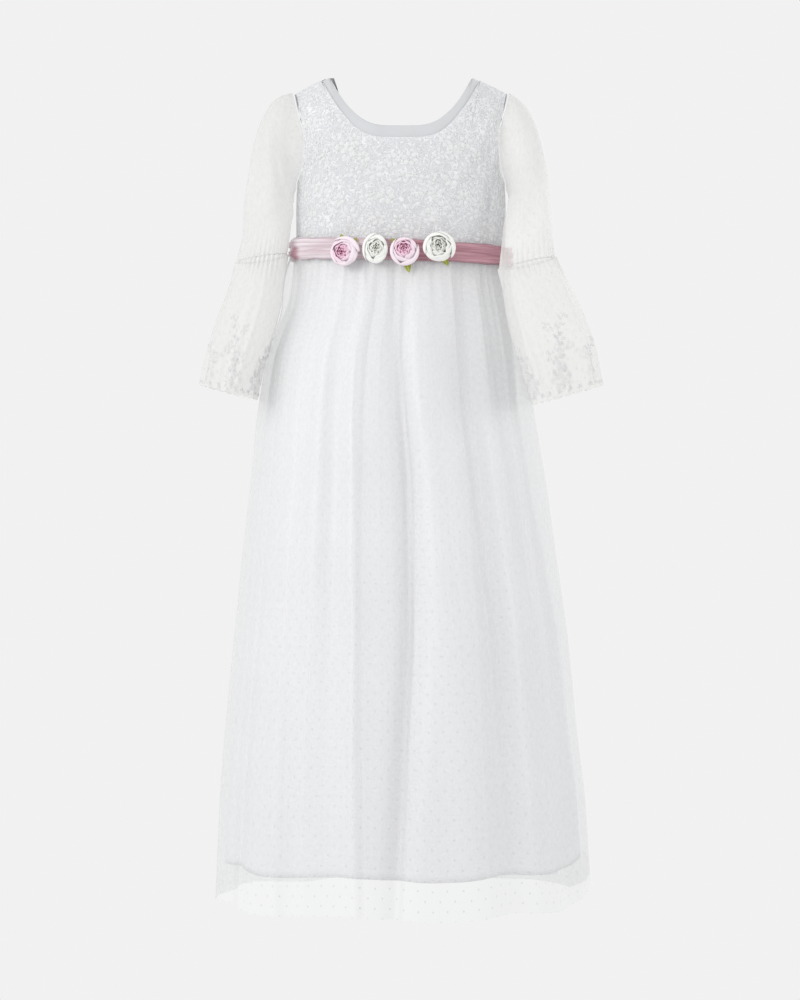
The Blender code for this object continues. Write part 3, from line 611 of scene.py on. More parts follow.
def wave(waves, turn):
    return np.cos(waves.count * turn + waves.drift * np.sin(waves.drifts * turn))


def fold_rise(folds, angle, drop):
    """How far a table of folds pushes the cloth out at angles in degrees."""
    total = np.zeros_like(angle)
    for fold in folds:
        centre = glide(FOLD_STATIONS, (fold.waist_angle, fold.middle_angle, fold.hem_angle), drop)
        rise = glide(FOLD_STATIONS, (fold.waist, fold.middle, fold.hem), drop)
        away = (angle - centre + 180.0) % 360.0 - 180.0
        total += rise * bump(away, fold.half_width)
    return total * np.minimum(1.0, (drop - WAIST_DROP) / FOLD_START)


def skirt_point(angle, drop, out, shift):
    turn = np.radians(angle)
    depth = np.where(
        np.cos(turn) > 0.0, read(SKIRT_RINGS, "front_depth", drop), read(SKIRT_RINGS, "back_depth", drop)
    )
    half_width = read(SKIRT_RINGS, "half_width", drop) + out
    x = read(SKIRT_RINGS, "middle", drop) + shift + half_width * np.sin(turn)
    return np.stack((x, -(depth + out) * np.cos(turn), -drop), 1)


def lining_surface(angle, drop):
    fade = bump(drop - WAIST_DROP, LINING_GATHERS_LOW)
    gathers = LINING_GATHERS.height * fade * wave(LINING_GATHERS, np.radians(angle))
    out = fold_rise(SKIRT_FOLDS, angle, drop) - read(SKIRT_RINGS, "lining_gap", drop) + gathers
    return skirt_point(angle, drop, out, read(SKIRT_RINGS, "lining_shift", drop))


def hem_at(angle, hem_drop, lift):
    away = (angle - HEM_LIFT_ANGLE + 180.0) % 360.0 - 180.0
    ripple = HEM_RIPPLE * np.sin(np.radians(HEM_RIPPLES * angle + HEM_RIPPLE_START))
    return hem_drop - lift * bump(away, HEM_LIFT_HALF_WIDTH) + ripple


def skirt_place(surface, first_angle, hem_drop, lift, raise_by):
    """How half a skirt layer lies, from side seam to side seam."""

    def place(u, v, number):
        angle = first_angle + 180.0 * u
        hem = hem_at(angle, hem_drop, lift)
        top = WAIST_DROP + SEAM
        drop = top + (hem - top) * (1.0 - v) ** 1.25
        points = raised(surface, angle, drop, raise_by(angle, drop, hem), 0.15, 0.0005)
        keep_side(points, 1, -1.0 if first_angle < 0.0 else 1.0)
        points[:, 2] = np.minimum(points[:, 2], -top)
        return points

    return place


def turned_hem(angle, drop, hem):
    """The hem is doubled, so its cloth stands out a little above the stitching line."""
    return -0.0002 + 0.0003 * (1.0 + np.tanh((drop - hem + LINING_HEM_WIDTH) / 0.001))


lining_satin = satin_cloth("lining satin", "#E9E9EB", "#F3F3F4", 7.0)
for side, first_angle in (("front", -90.0), ("back", 90.0)):
    lay = skirt_place(lining_surface, first_angle, LINING_DROP, LINING_LIFT, turned_hem)
    piece = sew(f"lining_satin_{side}", lay, 200, 100)
    dress(piece, lining_satin, SATIN_SLOT, f"lining_{side}")
    thicken(piece, LINING_THICKNESS)


# Overskirt: two panels of white dotted tulle, gathered into the waist seam, the longer layer.
# The tulle is sheer, with small woven dots, and its edge is left raw.

TULLE_SLOT = "tulle"
DOT_SPACING = 0.0148
DOT_MM = 2.2
DOT_COVER = 0.7
STREAK_MM = 7.0
STREAK_STRENGTH = 0.02

GATHERS = Waves(None, 28.0, 1.3, 3.0)
GATHER_UNEVEN = 0.35
FINE_PUCKERS = Waves(0.0009, 67.0, 2.1, 5.0)
FINE_PUCKERS_LOW = 0.055
FINEST_PUCKERS = Waves(0.0005, 121.0, 3.0, 7.0)
FINEST_PUCKERS_LOW = 0.025
GATHER_STATIONS = table(
    "drop height",
    (0.241, 0.0025),
    (0.275, 0.0036),
    (0.330, 0.0026),
    (0.400, 0.0010),
    (0.480, 0.0000),
)

# The gathers stand out under the left sleeve, just below the sash
SIDE_PUFF_ANGLE = -88.0
SIDE_PUFF_DROP = 0.277
SIDE_PUFF_HEIGHT = 0.0125
SIDE_PUFF_HALF_ANGLE = 26.0
SIDE_PUFF_HALF_DROP = 0.04

# Narrow creases in the tulle itself
TULLE_CREASES = table(
    FOLD_COLUMNS,
    (-65.0, -62.0, -60.0, 2.2, -0.004, 0.0, 0.0),
    (-22.6, -22.0, -22.0, 1.8, -0.0045, 0.0, 0.0),
    (-13.2, -12.0, -12.0, 1.6, -0.004, -0.001, 0.0),
    (-7.4, -7.0, -7.0, 1.6, 0.004, 0.001, 0.0),
    (-3.7, -1.0, -3.0, 1.8, -0.005, 0.0, 0.0),
    (35.8, 33.0, 31.0, 2.0, -0.004, -0.001, 0.0),
    (41.3, 40.0, 40.0, 1.6, 0.004, 0.001, 0.0),
    (48.0, 46.0, 45.0, 1.8, -0.0065, 0.0, 0.0),
    (-19.5, -16.2, -13.4, 0.9, 0.001, 0.003, 0.0035),
    (-12.0, -13.6, -11.6, 0.8, -0.001, -0.002, -0.0022),
    (-2.0, 4.6, -1.5, 0.9, 0.001, 0.003, 0.0026),
    (7.9, 9.0, 9.5, 1.5, 0.004, 0.0012, 0.001),
    (26.6, 26.0, 25.0, 1.4, 0.004, 0.0025, 0.0012),
    (36.0, 34.0, 33.0, 1.1, 0.0015, 0.0022, 0.0012),
    (55.0, 53.0, 52.0, 1.5, 0.004, 0.0018, 0.002),
    (-30.8, -31.0, -31.5, 1.5, 0.004, 0.0012, 0.002),
    (-42.7, -42.0, -41.0, 1.6, 0.004, 0.0014, 0.0026),
    (-59.0, -58.0, -58.0, 1.4, 0.001, 0.0014, 0.002),
    (-80.0, -79.0, -79.0, 1.6, 0.001, 0.0016, 0.002),
    (70.0, 69.0, 69.0, 1.4, 0.001, 0.0016, 0.002),
    (97.0, 98.0, 99.0, 1.4, 0.001, 0.0016, 0.002),
    (115.0, 116.0, 116.0, 1.2, 0.001, 0.0022, 0.0026),
    (133.0, 132.0, 132.0, 1.0, 0.0012, 0.0022, 0.002),
    (150.0, 149.0, 150.0, 1.2, 0.001, 0.0018, 0.0024),
    (168.0, 169.0, 167.0, 1.0, 0.0012, 0.0026, 0.0022),
    (185.0, 186.0, 184.0, 1.1, 0.001, 0.002, 0.0026),
    (203.0, 203.0, 204.0, 1.2, 0.0012, 0.0022, 0.002),
    (222.0, 221.0, 222.0, 1.1, 0.001, 0.002, 0.0024),
    (240.0, 240.0, 241.0, 1.3, 0.001, 0.0018, 0.002),
    (260.0, 259.0, 260.0, 1.4, 0.001, 0.0016, 0.0022),
)


def tulle_cloth(name, wide_mm, long_mm, cover_share, colour):
    """White nylon tulle: a hexagon net too fine to show, so an even veil, with small flocked dots on it."""
    made, tree, shader = cloth_material(name, colour, 0.75, Sheen_Weight=0.15, Specular_IOR_Level=0.2)
    in_mm = cloth_place(tree, "UV", (wide_mm, long_mm, 0.0))
    lattice = add_node(
        tree,
        "ShaderNodeMapping",
        {"Vector": in_mm, "Rotation": (0.0, 0.0, radians(45.0)), "Scale": [0.001 / DOT_SPACING] * 3},
    )
    dots = add_node(
        tree,
        "ShaderNodeTexVoronoi",
        {"Vector": lattice.outputs[0], "Scale": 1.0, "Randomness": 0.05},
        voronoi_dimensions="2D",
    )
    radius = DOT_MM / 2000.0 / DOT_SPACING
    dot = ramp(tree, dots.outputs["Distance"], 0.75 * radius, 1.25 * radius, 1.0, 0.0)
    # The net's real threads are 1 mm apart; the veil's faint streaks are drawn STREAK_MM apart to show
    streaks = noise(tree, in_mm, 1.0 / STREAK_MM, 1.0)
    veil = ramp(tree, streaks, 0.3, 0.7, cover_share - STREAK_STRENGTH, cover_share + STREAK_STRENGTH)
    cover = maths(tree, "MAXIMUM", veil, maths(tree, "MULTIPLY", dot, DOT_COVER))
    # The flocked dots are white like the tulle, painted grey here: painted shade, standing in for the small
    # shadows that they cast
    weave(tree, shader, blend(tree, dot, colour, "#D2D3D5"), dot, 0.3, 0.0004, cover)
    return made


def overskirt_surface(angle, drop):
    """Long folds and narrow creases, with gathers at the waist and finer puckers at their heads."""
    turn = np.radians(angle)
    uneven = 1.0 - GATHER_UNEVEN * (1.0 - np.sin(5.0 * turn + 0.8))
    out = fold_rise(SKIRT_FOLDS, angle, drop) + fold_rise(TULLE_CREASES, angle, drop)
    out += read(GATHER_STATIONS, "height", drop) * uneven * (0.5 + 0.5 * wave(GATHERS, turn))
    for puckers, low in ((FINE_PUCKERS, FINE_PUCKERS_LOW), (FINEST_PUCKERS, FINEST_PUCKERS_LOW)):
        out += puckers.height * bump(drop - WAIST_DROP, low) * (1.0 + wave(puckers, turn))
    puff = SIDE_PUFF_HEIGHT * bump(angle - SIDE_PUFF_ANGLE, SIDE_PUFF_HALF_ANGLE)
    puff *= bump(drop - SIDE_PUFF_DROP, SIDE_PUFF_HALF_DROP)
    return skirt_point(angle, drop, out + puff, 0.0)


skirt_tulle = tulle_cloth("dotted tulle", 900.0, 870.0, 0.40, "#F1F2F3")
for side, first_angle in (("front", -90.0), ("back", 90.0)):
    lay = skirt_place(overskirt_surface, first_angle, OVERSKIRT_DROP, HEM_LIFT, lambda angle, drop, hem: 0.0)
    piece = sew(f"overskirt_tulle_{side}", lay, 380, 120)
    dress(piece, skirt_tulle, TULLE_SLOT, f"overskirt_{side}")


# Sleeves: full tubes of the same tulle, set into the armholes and gathered below the elbow.
# They are sheer, and fall in soft lengthwise folds.

SLEEVE_OVER_ARMHOLE = 0.0015
SLEEVE_OFF_BODICE = 0.0028
SLEEVE_FOLD_HEIGHT = 0.0012
HEAD_GATHERS = Waves(0.0010, 37.0, 0.0, 0.0)
WRIST_GATHERS = Waves(0.0013, 31.0, 1.2, 3.0)
ARM_COLUMNS = "outer_x outer_drop inner_x inner_drop middle_y half_depth"
SLEEVE_RINGS = {
    "left": table(
        ARM_COLUMNS,
        (0.158, 0.024, 0.1440, 0.157, -0.002, 0.049),
        (0.174, 0.034, 0.1445, 0.163, -0.004, 0.050),
        (0.188, 0.058, 0.1450, 0.168, -0.007, 0.050),
        (0.198, 0.094, 0.1450, 0.174, -0.010, 0.048),
        (0.205, 0.132, 0.1450, 0.184, -0.014, 0.046),
        (0.210, 0.173, 0.1470, 0.202, -0.019, 0.044),
        (0.212, 0.211, 0.1505, 0.222, -0.024, 0.042),
        (0.219, 0.251, 0.1535, 0.241, -0.030, 0.040),
    ),
    "right": table(
        ARM_COLUMNS,
        (0.153, 0.026, 0.1440, 0.157, -0.004, 0.049),
        (0.169, 0.043, 0.1445, 0.163, -0.008, 0.050),
        (0.183, 0.073, 0.1440, 0.168, -0.014, 0.049),
        (0.192, 0.113, 0.1425, 0.176, -0.024, 0.047),
        (0.198, 0.154, 0.1400, 0.189, -0.038, 0.045),
        (0.200, 0.190, 0.1365, 0.208, -0.054, 0.043),
        (0.200, 0.218, 0.1330, 0.232, -0.070, 0.042),
        (0.202, 0.249, 0.1305, 0.264, -0.077, 0.041),
    ),
}


def arm_ring(ring, turn, side):
    """A ring round the arm: turn 0 is its outer edge, 90 degrees its front."""
    outer = np.array((side * ring.outer_x, ring.middle_y, -ring.outer_drop))
    inner = np.array((side * ring.inner_x, ring.middle_y, -ring.inner_drop))
    middle = (outer + inner) / 2
    forward = np.array((0.0, -ring.half_depth, 0.0))
    return middle + np.cos(turn)[:, None] * (outer - middle) + np.sin(turn)[:, None] * forward


def through(rings, share):
    """Points along smooth curves through a few rings of points."""
    stations = np.arange(len(rings))
    at = share * stations[-1]
    axes = [glide(stations, np.array([ring[:, axis] for ring in rings]), at) for axis in range(3)]
    return np.stack(axes, 1)


def arm_side(which):
    return -1.0 if which == "left" else 1.0


def plain_sleeve(which, turn, share):
    side = arm_side(which)
    drop = ARMHOLE_DROP - (ARMHOLE_HALF_HEIGHT + SLEEVE_OVER_ARMHOLE) * np.cos(turn)
    depth = np.where(np.sin(turn) > 0.0, ARMHOLE_FRONT, ARMHOLE_BACK)
    x = read(BODICE_RINGS, "half_width", drop) + SLEEVE_OFF_BODICE
    armhole = np.stack((side * x, -(depth + SLEEVE_OVER_ARMHOLE) * np.sin(turn), -drop), 1)
    return through([armhole] + [arm_ring(ring, turn, side) for ring in SLEEVE_RINGS[which]], share)


def move_away(here, middle, distance):
    """Points moved straight away from a middle."""
    outward = here - middle
    outward /= np.linalg.norm(outward, axis=1)[:, None]
    return here + outward * distance[:, None]


def arm_middle(plain, which, share):
    """Points on the line through the middle of a sleeve or a cuff."""
    return (plain(which, np.zeros_like(share), share) + plain(which, np.full_like(share, pi), share)) / 2


def sleeve_surface(which, turn, share):
    """Soft lengthwise folds, small gathers at the head and at the cuff seam."""
    folds = np.cos(5.0 * turn + 2.0 * np.sin(3.0 * share * pi + arm_side(which)))
    out = SLEEVE_FOLD_HEIGHT * np.sin(pi * share) * folds
    out += HEAD_GATHERS.height * bump(share, 0.08) * np.cos(turn / 2) ** 2 * wave(HEAD_GATHERS, turn)
    out += WRIST_GATHERS.height * bump(share - 1.0, 0.10) * wave(WRIST_GATHERS, turn)
    return move_away(plain_sleeve(which, turn, share), arm_middle(plain_sleeve, which, share), out)


sleeve_tulle = tulle_cloth("dotted sleeve tulle", 300.0, 240.0, 0.42, "#F0F0EE")
for which in ("left", "right"):
    piece = sew(
        f"sleeve_tulle_{which}",
        lambda u, v, number: sleeve_surface(which, 2.0 * pi * (u % 1.0), 1.0 - v),
        150, 80, closed=True, flip=which == "right",
    )
    dress(piece, sleeve_tulle, TULLE_SLOT, f"sleeve_{which}")


# Bell cuffs: flared frills of embroidered tulle, gathered on below the elbow in a narrow seam.
# A vine with flowers climbs from a softly scalloped edge.

CUFF_SEAM = 0.0005
CUFF_RINGS = {
    "left": table(
        ARM_COLUMNS,
        (0.230, 0.287, 0.1570, 0.290, -0.034, 0.046),
        (0.244, 0.328, 0.1660, 0.334, -0.036, 0.051),
        (0.256, 0.374, 0.1810, 0.382, -0.038, 0.057),
        (0.264, 0.418, 0.1940, 0.436, -0.040, 0.062),
    ),
    "right": table(
        ARM_COLUMNS,
        (0.222, 0.285, 0.1350, 0.298, -0.075, 0.046),
        (0.241, 0.328, 0.1410, 0.334, -0.073, 0.051),
        (0.253, 0.368, 0.1560, 0.385, -0.074, 0.056),
        (0.262, 0.420, 0.1760, 0.444, -0.072, 0.060),
    ),
}
CUFF_WAVES = Waves(0.0055, 7.0, 1.0, 2.0)
CUFF_WAVE_LESS_INSIDE = 0.25
CUFF_WAVE_GROWTH = 1.3
CUFF_GATHERS = Waves(0.0016, 33.0, 1.5, 4.0)
CUFF_FLUTES = Waves(0.0011, 17.0, 1.5, 3.0)
CUFF_SCALLOPS = 20
CUFF_SCALLOP_DEPTH = 0.009
CUFF_LONG = 0.150
CUFF_RADIUS = 0.047
CUFF_PETAL_HEIGHT = 0.0005
CUFF_STITCH_OFF = 0.0002
SEAM_CORD_RADIUS = 0.0008
SEAM_CORD_TWIST = 0.0002
SEAM_CORD_TWISTS = 44.0
SEAM_CORD_OFF = 0.0006


def plain_cuff(which, turn, share):
    side = arm_side(which)
    start = arm_ring(SLEEVE_RINGS[which][-1], turn, side) - np.array((0.0, 0.0, CUFF_SEAM))
    rings = [start] + [arm_ring(ring, turn, side) for ring in CUFF_RINGS[which]]
    return through(rings, np.clip(share, 0.0, 1.0))


def cuff_surface(which, turn, share):
    """Broad waves that grow towards the edge, gathers under the seam and narrow flutes."""
    less_inside = 1.0 - CUFF_WAVE_LESS_INSIDE * (1.0 - np.cos(turn))
    out = CUFF_WAVES.height * share**CUFF_WAVE_GROWTH * less_inside * wave(CUFF_WAVES, turn)
    out += CUFF_GATHERS.height * bump(share, 0.14) * (1.0 + wave(CUFF_GATHERS, turn))
    out += CUFF_FLUTES.height * share * wave(CUFF_FLUTES, turn)
    return move_away(plain_cuff(which, turn, share), arm_middle(plain_cuff, which, share), out)


# Flowers up a vine: how far beside it and above the edge, how wide, how far turned, and how many petals
CUFF_FLOWERS = table(
    "beside above size turned petals",
    (0.0, 0.016, 0.022, 0.0, 6),
    (0.009, 0.034, 0.015, 20.0, 5),
    (-0.007, 0.050, 0.016, 40.0, 5),
    (0.004, 0.064, 0.012, 10.0, 5),
)


def cuff_sprays():
    """Vines that climb from the edge, the tallest in front, and a row of leaves along the edge."""
    sprays = []
    for first in (90.0, 28.0, 150.0, 210.0, 270.0, 330.0):
        across = radians(first) * CUFF_RADIUS
        leaves, blooms = (11, 4) if first == 90.0 else (7, 2)
        sprays += vine(across, 0.012, 8.0 * sin(first), 9.0 * cos(first), leaves, 0.0062, 0.0085)
        for bloom in CUFF_FLOWERS[:blooms]:
            middle, turned = across + bloom.beside, first + bloom.turned
            sprays += flower(middle, bloom.above, bloom.size, turned, bloom.petals)
    for number in range(2 * CUFF_SCALLOPS):
        across = 2.0 * pi * CUFF_RADIUS * number / (2 * CUFF_SCALLOPS)
        sprays.append(Spray(across, 0.0035, 62.0 if number % 2 else -62.0, 0.0064, 0.0028))
    return sprays


cuff_tulle = tulle_cloth("embroidered cuff tulle", 340.0, 160.0, 0.44, "#EFEFED")
fine_stitch = stitch_cloth("fine satin stitch", 0.6)
for which in ("left", "right"):

    def cuff_lies(u, v, number):
        turn = 2.0 * pi * (u % 1.0)
        edge = 1.0 - CUFF_SCALLOP_DEPTH * (1.0 - np.abs(np.sin(0.5 * CUFF_SCALLOPS * turn)))
        return cuff_surface(which, turn, (1.0 - v) * edge)

    piece = sew(f"cuff_tulle_{which}", cuff_lies, 280, 50, closed=True, flip=which == "right")
    dress(piece, cuff_tulle, TULLE_SLOT, f"cuff_{which}")

    sprays = np.array(cuff_sprays())

    def stitched(u, v, number):
        sideways, above, height = petal(sprays[number], u, v, CUFF_PETAL_HEIGHT)
        share = np.clip(1.0 - above / CUFF_LONG, 0.0, 0.985)
        here = cuff_surface(which, sideways / CUFF_RADIUS, share)
        return move_away(here, arm_middle(plain_cuff, which, share), CUFF_STITCH_OFF + height)

    vines = sew(f"cuff_embroidery_{which}", stitched, 4, 4, count=len(sprays), flip=which == "left")
    dress(vines, fine_stitch, TULLE_SLOT)

    def seam_cord(u, v, number):
        turn, section = 2.0 * pi * (u % 1.0), 2.0 * pi * (v % 1.0)
        here = plain_cuff(which, turn, np.zeros_like(turn))
        thick = SEAM_CORD_RADIUS + SEAM_CORD_TWIST * np.cos(SEAM_CORD_TWISTS * turn)
        up = np.array((0.0, 0.0, 1.0))
        off = move_away(here, here.mean(0), thick * np.cos(section) + SEAM_CORD_OFF)
        return off + up * (thick * np.sin(section))[:, None]

    seam = sew(f"cuff_seam_{which}", seam_cord, 180, 8, closed=True, flip=which == "right")
    dress(seam, fine_stitch, TULLE_SLOT)


# Sash: dusty pink tulle bunched lengthwise over the waist seam, its ends meeting at centre back.
# It is paler on the viewer's left, with a tight darker bunch at the side, and darker on the right.

SASH_DROP = 0.238
SASH_TILT_ACROSS = 0.035
SASH_TILT_DEPTH = -0.030
SASH_HALF_HEIGHT = 0.01425
SASH_HALF_HEIGHT_MORE_LEFT = 0.00125
SASH_STAND_OFF = 0.0053
SASH_HALF_THICKNESS = 0.0031
SASH_SLOT = "sash_tulle"
WAIST = BODICE_RINGS[-1]

# Lengthwise folds of the bunched tulle: their waves over its height, and how these drift round the waist
SASH_FOLDS = table(
    "height count drift turns lead",
    (0.0013, 7.0, 3.0, 0.0, 0.0),
    (0.0008, 15.0, -5.0, 0.0, 1.0),
    (0.0005, 27.0, 9.0, 3.0, 0.0),
)
SASH_BUNCH_ANGLE = -84.0
SASH_BUNCH_HALF_ANGLE = 7.0
SASH_BUNCH_TIGHTNESS = 0.10
SASH_BUNCH = (-0.141, -0.030, -0.2420)


def sash_ring(angle, out):
    """Points round the waist, at a distance outside the satin."""
    turn = np.radians(angle)
    depth = np.where(np.cos(turn) > 0.0, WAIST.front_depth, WAIST.back_depth)
    x, y = (WAIST.half_width + out) * np.sin(turn), -(depth + out) * np.cos(turn)
    return np.stack((x, y, np.zeros_like(turn)), 1)


def sash_lies(u, v, number):
    angle = -180.0 + 360.0 * u
    turn, section = np.radians(angle), 2.0 * pi * v
    side, up = np.cos(section), np.sin(section)
    side = np.sign(side) * np.abs(side) ** 0.6
    drift = 0.55 * np.sin(2.0 * turn + 0.7) + 0.25 * np.sin(5.0 * turn)
    folds = sum(
        fold.height * np.sin(fold.count * up + fold.drift * drift + fold.turns * turn + fold.lead)
        for fold in SASH_FOLDS
    )
    out = SASH_STAND_OFF + SASH_HALF_THICKNESS * (1.0 + side) + folds * np.clip(side, 0.0, 1.0)
    points = sash_ring(angle, out)
    tight = 1.0 - SASH_BUNCH_TIGHTNESS * bump(angle - SASH_BUNCH_ANGLE, SASH_BUNCH_HALF_ANGLE)
    tight += 0.03 * np.sin(9.0 * turn) + 0.02 * np.sin(23.0 * turn)
    half_height = (SASH_HALF_HEIGHT - SASH_HALF_HEIGHT_MORE_LEFT * np.sin(turn)) * tight
    end = np.where(u < 0.5, -1.0, 1.0)
    clear = end * np.maximum(end * points[:, 0], SEAM / 2)
    points[:, 0] = np.where(points[:, 1] > 0.0, clear, points[:, 0])
    points[:, 2] = -(SASH_DROP + SASH_TILT_ACROSS * points[:, 0] + SASH_TILT_DEPTH * points[:, 1])
    points[:, 2] += half_height * up
    return points


# Bunched nylon tulle: layer on layer makes it nearly opaque, with deeper pink round the tight bunch at the
# side
pink_tulle, tree, shader = cloth_material("bunched pink tulle", "#C9A0AA", 0.8, Sheen_Weight=0.3)
place = cloth_place(tree, "Object")
to_right = ramp(tree, part_of(tree, place, "X"), -0.085, 0.02, kind="SMOOTHSTEP")
tight = ramp(tree, distance(tree, place, SASH_BUNCH), 0.005, 0.020, 0.9, 0.0, kind="SMOOTHSTEP")
plain_tint = blend(tree, tight, blend(tree, to_right, "#EBE1E6", "#CC9BA7"), "#BB8090")
# Darker streaks along the sash are painted shade, standing in for the valleys of its folds; the same noise
# raises them a little
layers = noise(tree, cloth_place(tree, "UV", (9.0, 26.0, 1.0)), 1.0, 4.0, distortion=0.4)
fold_shade_tint = blend(tree, ramp(tree, layers, 0.42, 0.66, 0.0, 0.5), plain_tint, "#A97482", kind="MULTIPLY")
# The outermost layers are single and sheer, at the top and bottom edges of the tube
round_tube = maths(tree, "MULTIPLY", part_of(tree, cloth_place(tree, "UV"), "Y"), 2.0 * pi)
edge = maths(tree, "ABSOLUTE", maths(tree, "SINE", round_tube))
weave(tree, shader, fold_shade_tint, layers, 0.5, 0.0012, ramp(tree, edge, 0.80, 1.0, 1.0, 0.35))

sash = sew("sash_bunched_tulle", sash_lies, 420, 48, closed=True)
dress(sash, pink_tulle, SASH_SLOT, "sash")


# Fabric roses: four cabbage roses of layered cloth petals, sewn to the sash by their feet.
# Each has wide outer petals with rolled rims, and tighter crumpled ones round a deep heart.

ROSES = table(
    "node x drop radius wide tall aside colour heart off_middle first",
    ("rose_pink_1", -0.0718, 0.2440, 0.0205, 1.04, 1.00, 0.0012, "pink", 165.0, 0.16, 300.0),
    ("rose_white_1", -0.0320, 0.2410, 0.0170, 1.05, 1.24, 0.0000, "white", 80.0, 0.08, 30.0),
    ("rose_pink_2", 0.0046, 0.2440, 0.0183, 1.06, 1.06, 0.0000, "pink", 110.0, 0.24, 310.0),
    ("rose_white_2", 0.0480, 0.2390, 0.0215, 1.06, 0.98, -0.0006, "white", 115.0, 0.22, 262.0),
)
ROSE_OFF_SASH = 0.0014
PETAL_THICKNESS = 0.00035
PETAL_UNEVEN_ANGLE = 9.0
RING_TURN = 47.0
RIM_ROLL = 0.03
RIM_ROLL_START = 0.86

# Rings of petals, from the outside in: how many, how far their root, belly and rim lie from the middle,
# how high they are, how much of a full turn each covers, and how crumpled they are
PETAL_RINGS = table(
    "count root belly rim high cover crumple",
    (3, 0.50, 1.32, 0.70, 0.56, 0.42, 0.015),
    (3, 0.46, 1.12, 0.56, 0.61, 0.40, 0.025),
    (4, 0.38, 0.92, 0.42, 0.61, 0.32, 0.035),
    (4, 0.28, 0.70, 0.29, 0.60, 0.32, 0.040),
    (4, 0.18, 0.50, 0.17, 0.59, 0.32, 0.040),
    (3, 0.08, 0.30, 0.06, 0.58, 0.38, 0.040),
)


def on_sash(x, drop):
    """A flat frame that touches the sash from outside: its middle, its right, its up and its out."""
    out = SASH_STAND_OFF + 2.0 * SASH_HALF_THICKNESS
    width, depth = WAIST.half_width + out, WAIST.front_depth + out
    turn = asin(x / width)
    middle = np.array((width * sin(turn), -depth * cos(turn), -drop))
    outward = np.array((middle[0] / width**2, middle[1] / depth**2, 0.0))
    outward /= np.linalg.norm(outward)
    up = np.array((0.0, 0.0, 1.0))
    return middle, np.cross(up, outward), up, outward


def petals_of(rose):
    """Where each point of a rose's petals lies."""
    rows = []
    for level, ring in enumerate(PETAL_RINGS):
        for number in range(ring.count):
            uneven = sin(2.7 * number + 1.9 * level + rose.first)
            heading = rose.first + 360.0 * number / ring.count + RING_TURN * level
            heading += PETAL_UNEVEN_ANGLE * uneven
            rows.append((heading, level, uneven, *ring[1:]))
    rows = np.array(rows)
    middle, right, up, outward = on_sash(rose.x, rose.drop)
    heart = rose.off_middle * np.array((cos(radians(rose.heart)), sin(radians(rose.heart))))

    def place(u, v, number):
        heading, level, uneven, root, belly, rim, high, cover, crumple = rows[number].T
        across = 2.0 * u - 1.0
        # A petal's corners are rounded off, and it widens towards its rim
        tall = v * (1.0 - 0.26 * np.abs(across) ** 3 - 0.06 * uneven * across)
        turn = np.radians(heading) + pi * cover * across * (0.75 + 0.25 * tall)
        # It bellies out from its root, rolls back at its rim, and crumples more the higher it is
        reach = (1.0 - tall) ** 2 * root + 2.0 * tall * (1.0 - tall) * belly + tall**2 * rim
        rolled = RIM_ROLL * np.clip((tall - RIM_ROLL_START) / (1.0 - RIM_ROLL_START), 0.0, 1.0)
        reach = reach * (1.0 + 0.07 * uneven) + rolled
        height = high * (1.0 + 0.05 * uneven) * tall * (1.6 - 0.6 * tall)
        ruffle = crumple * tall * np.sin(7.0 * across + 3.0 * level + 9.0 * uneven)
        reach = np.minimum(reach + ruffle, 1.0)
        height = height + 0.6 * crumple * tall * np.cos(9.0 * across + 5.0 * uneven)
        # The heart lies a little off the middle, so the inner petals shift with it
        shift = np.clip(height / 0.7, 0.0, 1.0) * np.clip(1.0 - 0.9 * reach**2, 0.0, 1.0)
        flat_x = (reach * np.cos(turn) + shift * heart[0]) * rose.radius * rose.wide + rose.aside
        flat_y = (reach * np.sin(turn) + shift * heart[1]) * rose.radius * rose.tall
        lift = ROSE_OFF_SASH + np.maximum(height, 0.0) * rose.radius
        return middle + flat_x[:, None] * right + flat_y[:, None] * up + lift[:, None] * outward

    return place, len(rows)


def petal_cloth(name, rim_colour, heart_dye_and_shade, deep_dye_and_shade, heart_places):
    """Starched cotton petals, darker towards the heart and paler at the rim: dyed so in the pink roses,
    painted shade in the white ones.
    """
    made, tree, shader = cloth_material(name, rim_colour, 0.75, Sheen_Weight=0.25)
    place = cloth_place(tree, "Object")
    nearest = distance(tree, place, heart_places[0])
    for spot in heart_places[1:]:
        nearest = maths(tree, "MINIMUM", nearest, distance(tree, place, spot))
    # Towards the heart and the inner petals' roots: deeper pink dye in the pink roses, painted grey-green
    # shade in the white ones
    body = blend(tree, ramp(tree, nearest, 0.005, 0.0165, kind="SMOOTHSTEP"), heart_dye_and_shade, rim_colour)
    root = ramp(tree, part_of(tree, cloth_place(tree, "UV"), "Y"), 0.50, 0.95, 1.0, 0.0)
    inside = ramp(tree, nearest, 0.003, 0.010, 1.0, 0.0)
    dye_and_shade = blend(tree, maths(tree, "MULTIPLY", root, inside), body, deep_dye_and_shade)
    grain = noise(tree, cloth_place(tree, "UV", (22.0, 3.0, 1.0)), 1.0, 3.0)
    weave(tree, shader, dye_and_shade, grain, 0.35, 0.0005)
    return made


def hearts(colour):
    """Where the hearts of the roses of one colour lie."""
    spots = []
    for rose in ROSES:
        if rose.colour == colour:
            middle, right, up, outward = on_sash(rose.x, rose.drop)
            towards = cos(radians(rose.heart)) * right + sin(radians(rose.heart)) * up
            spots.append(middle + rose.off_middle * rose.radius * towards + 0.55 * rose.radius * outward)
    return spots


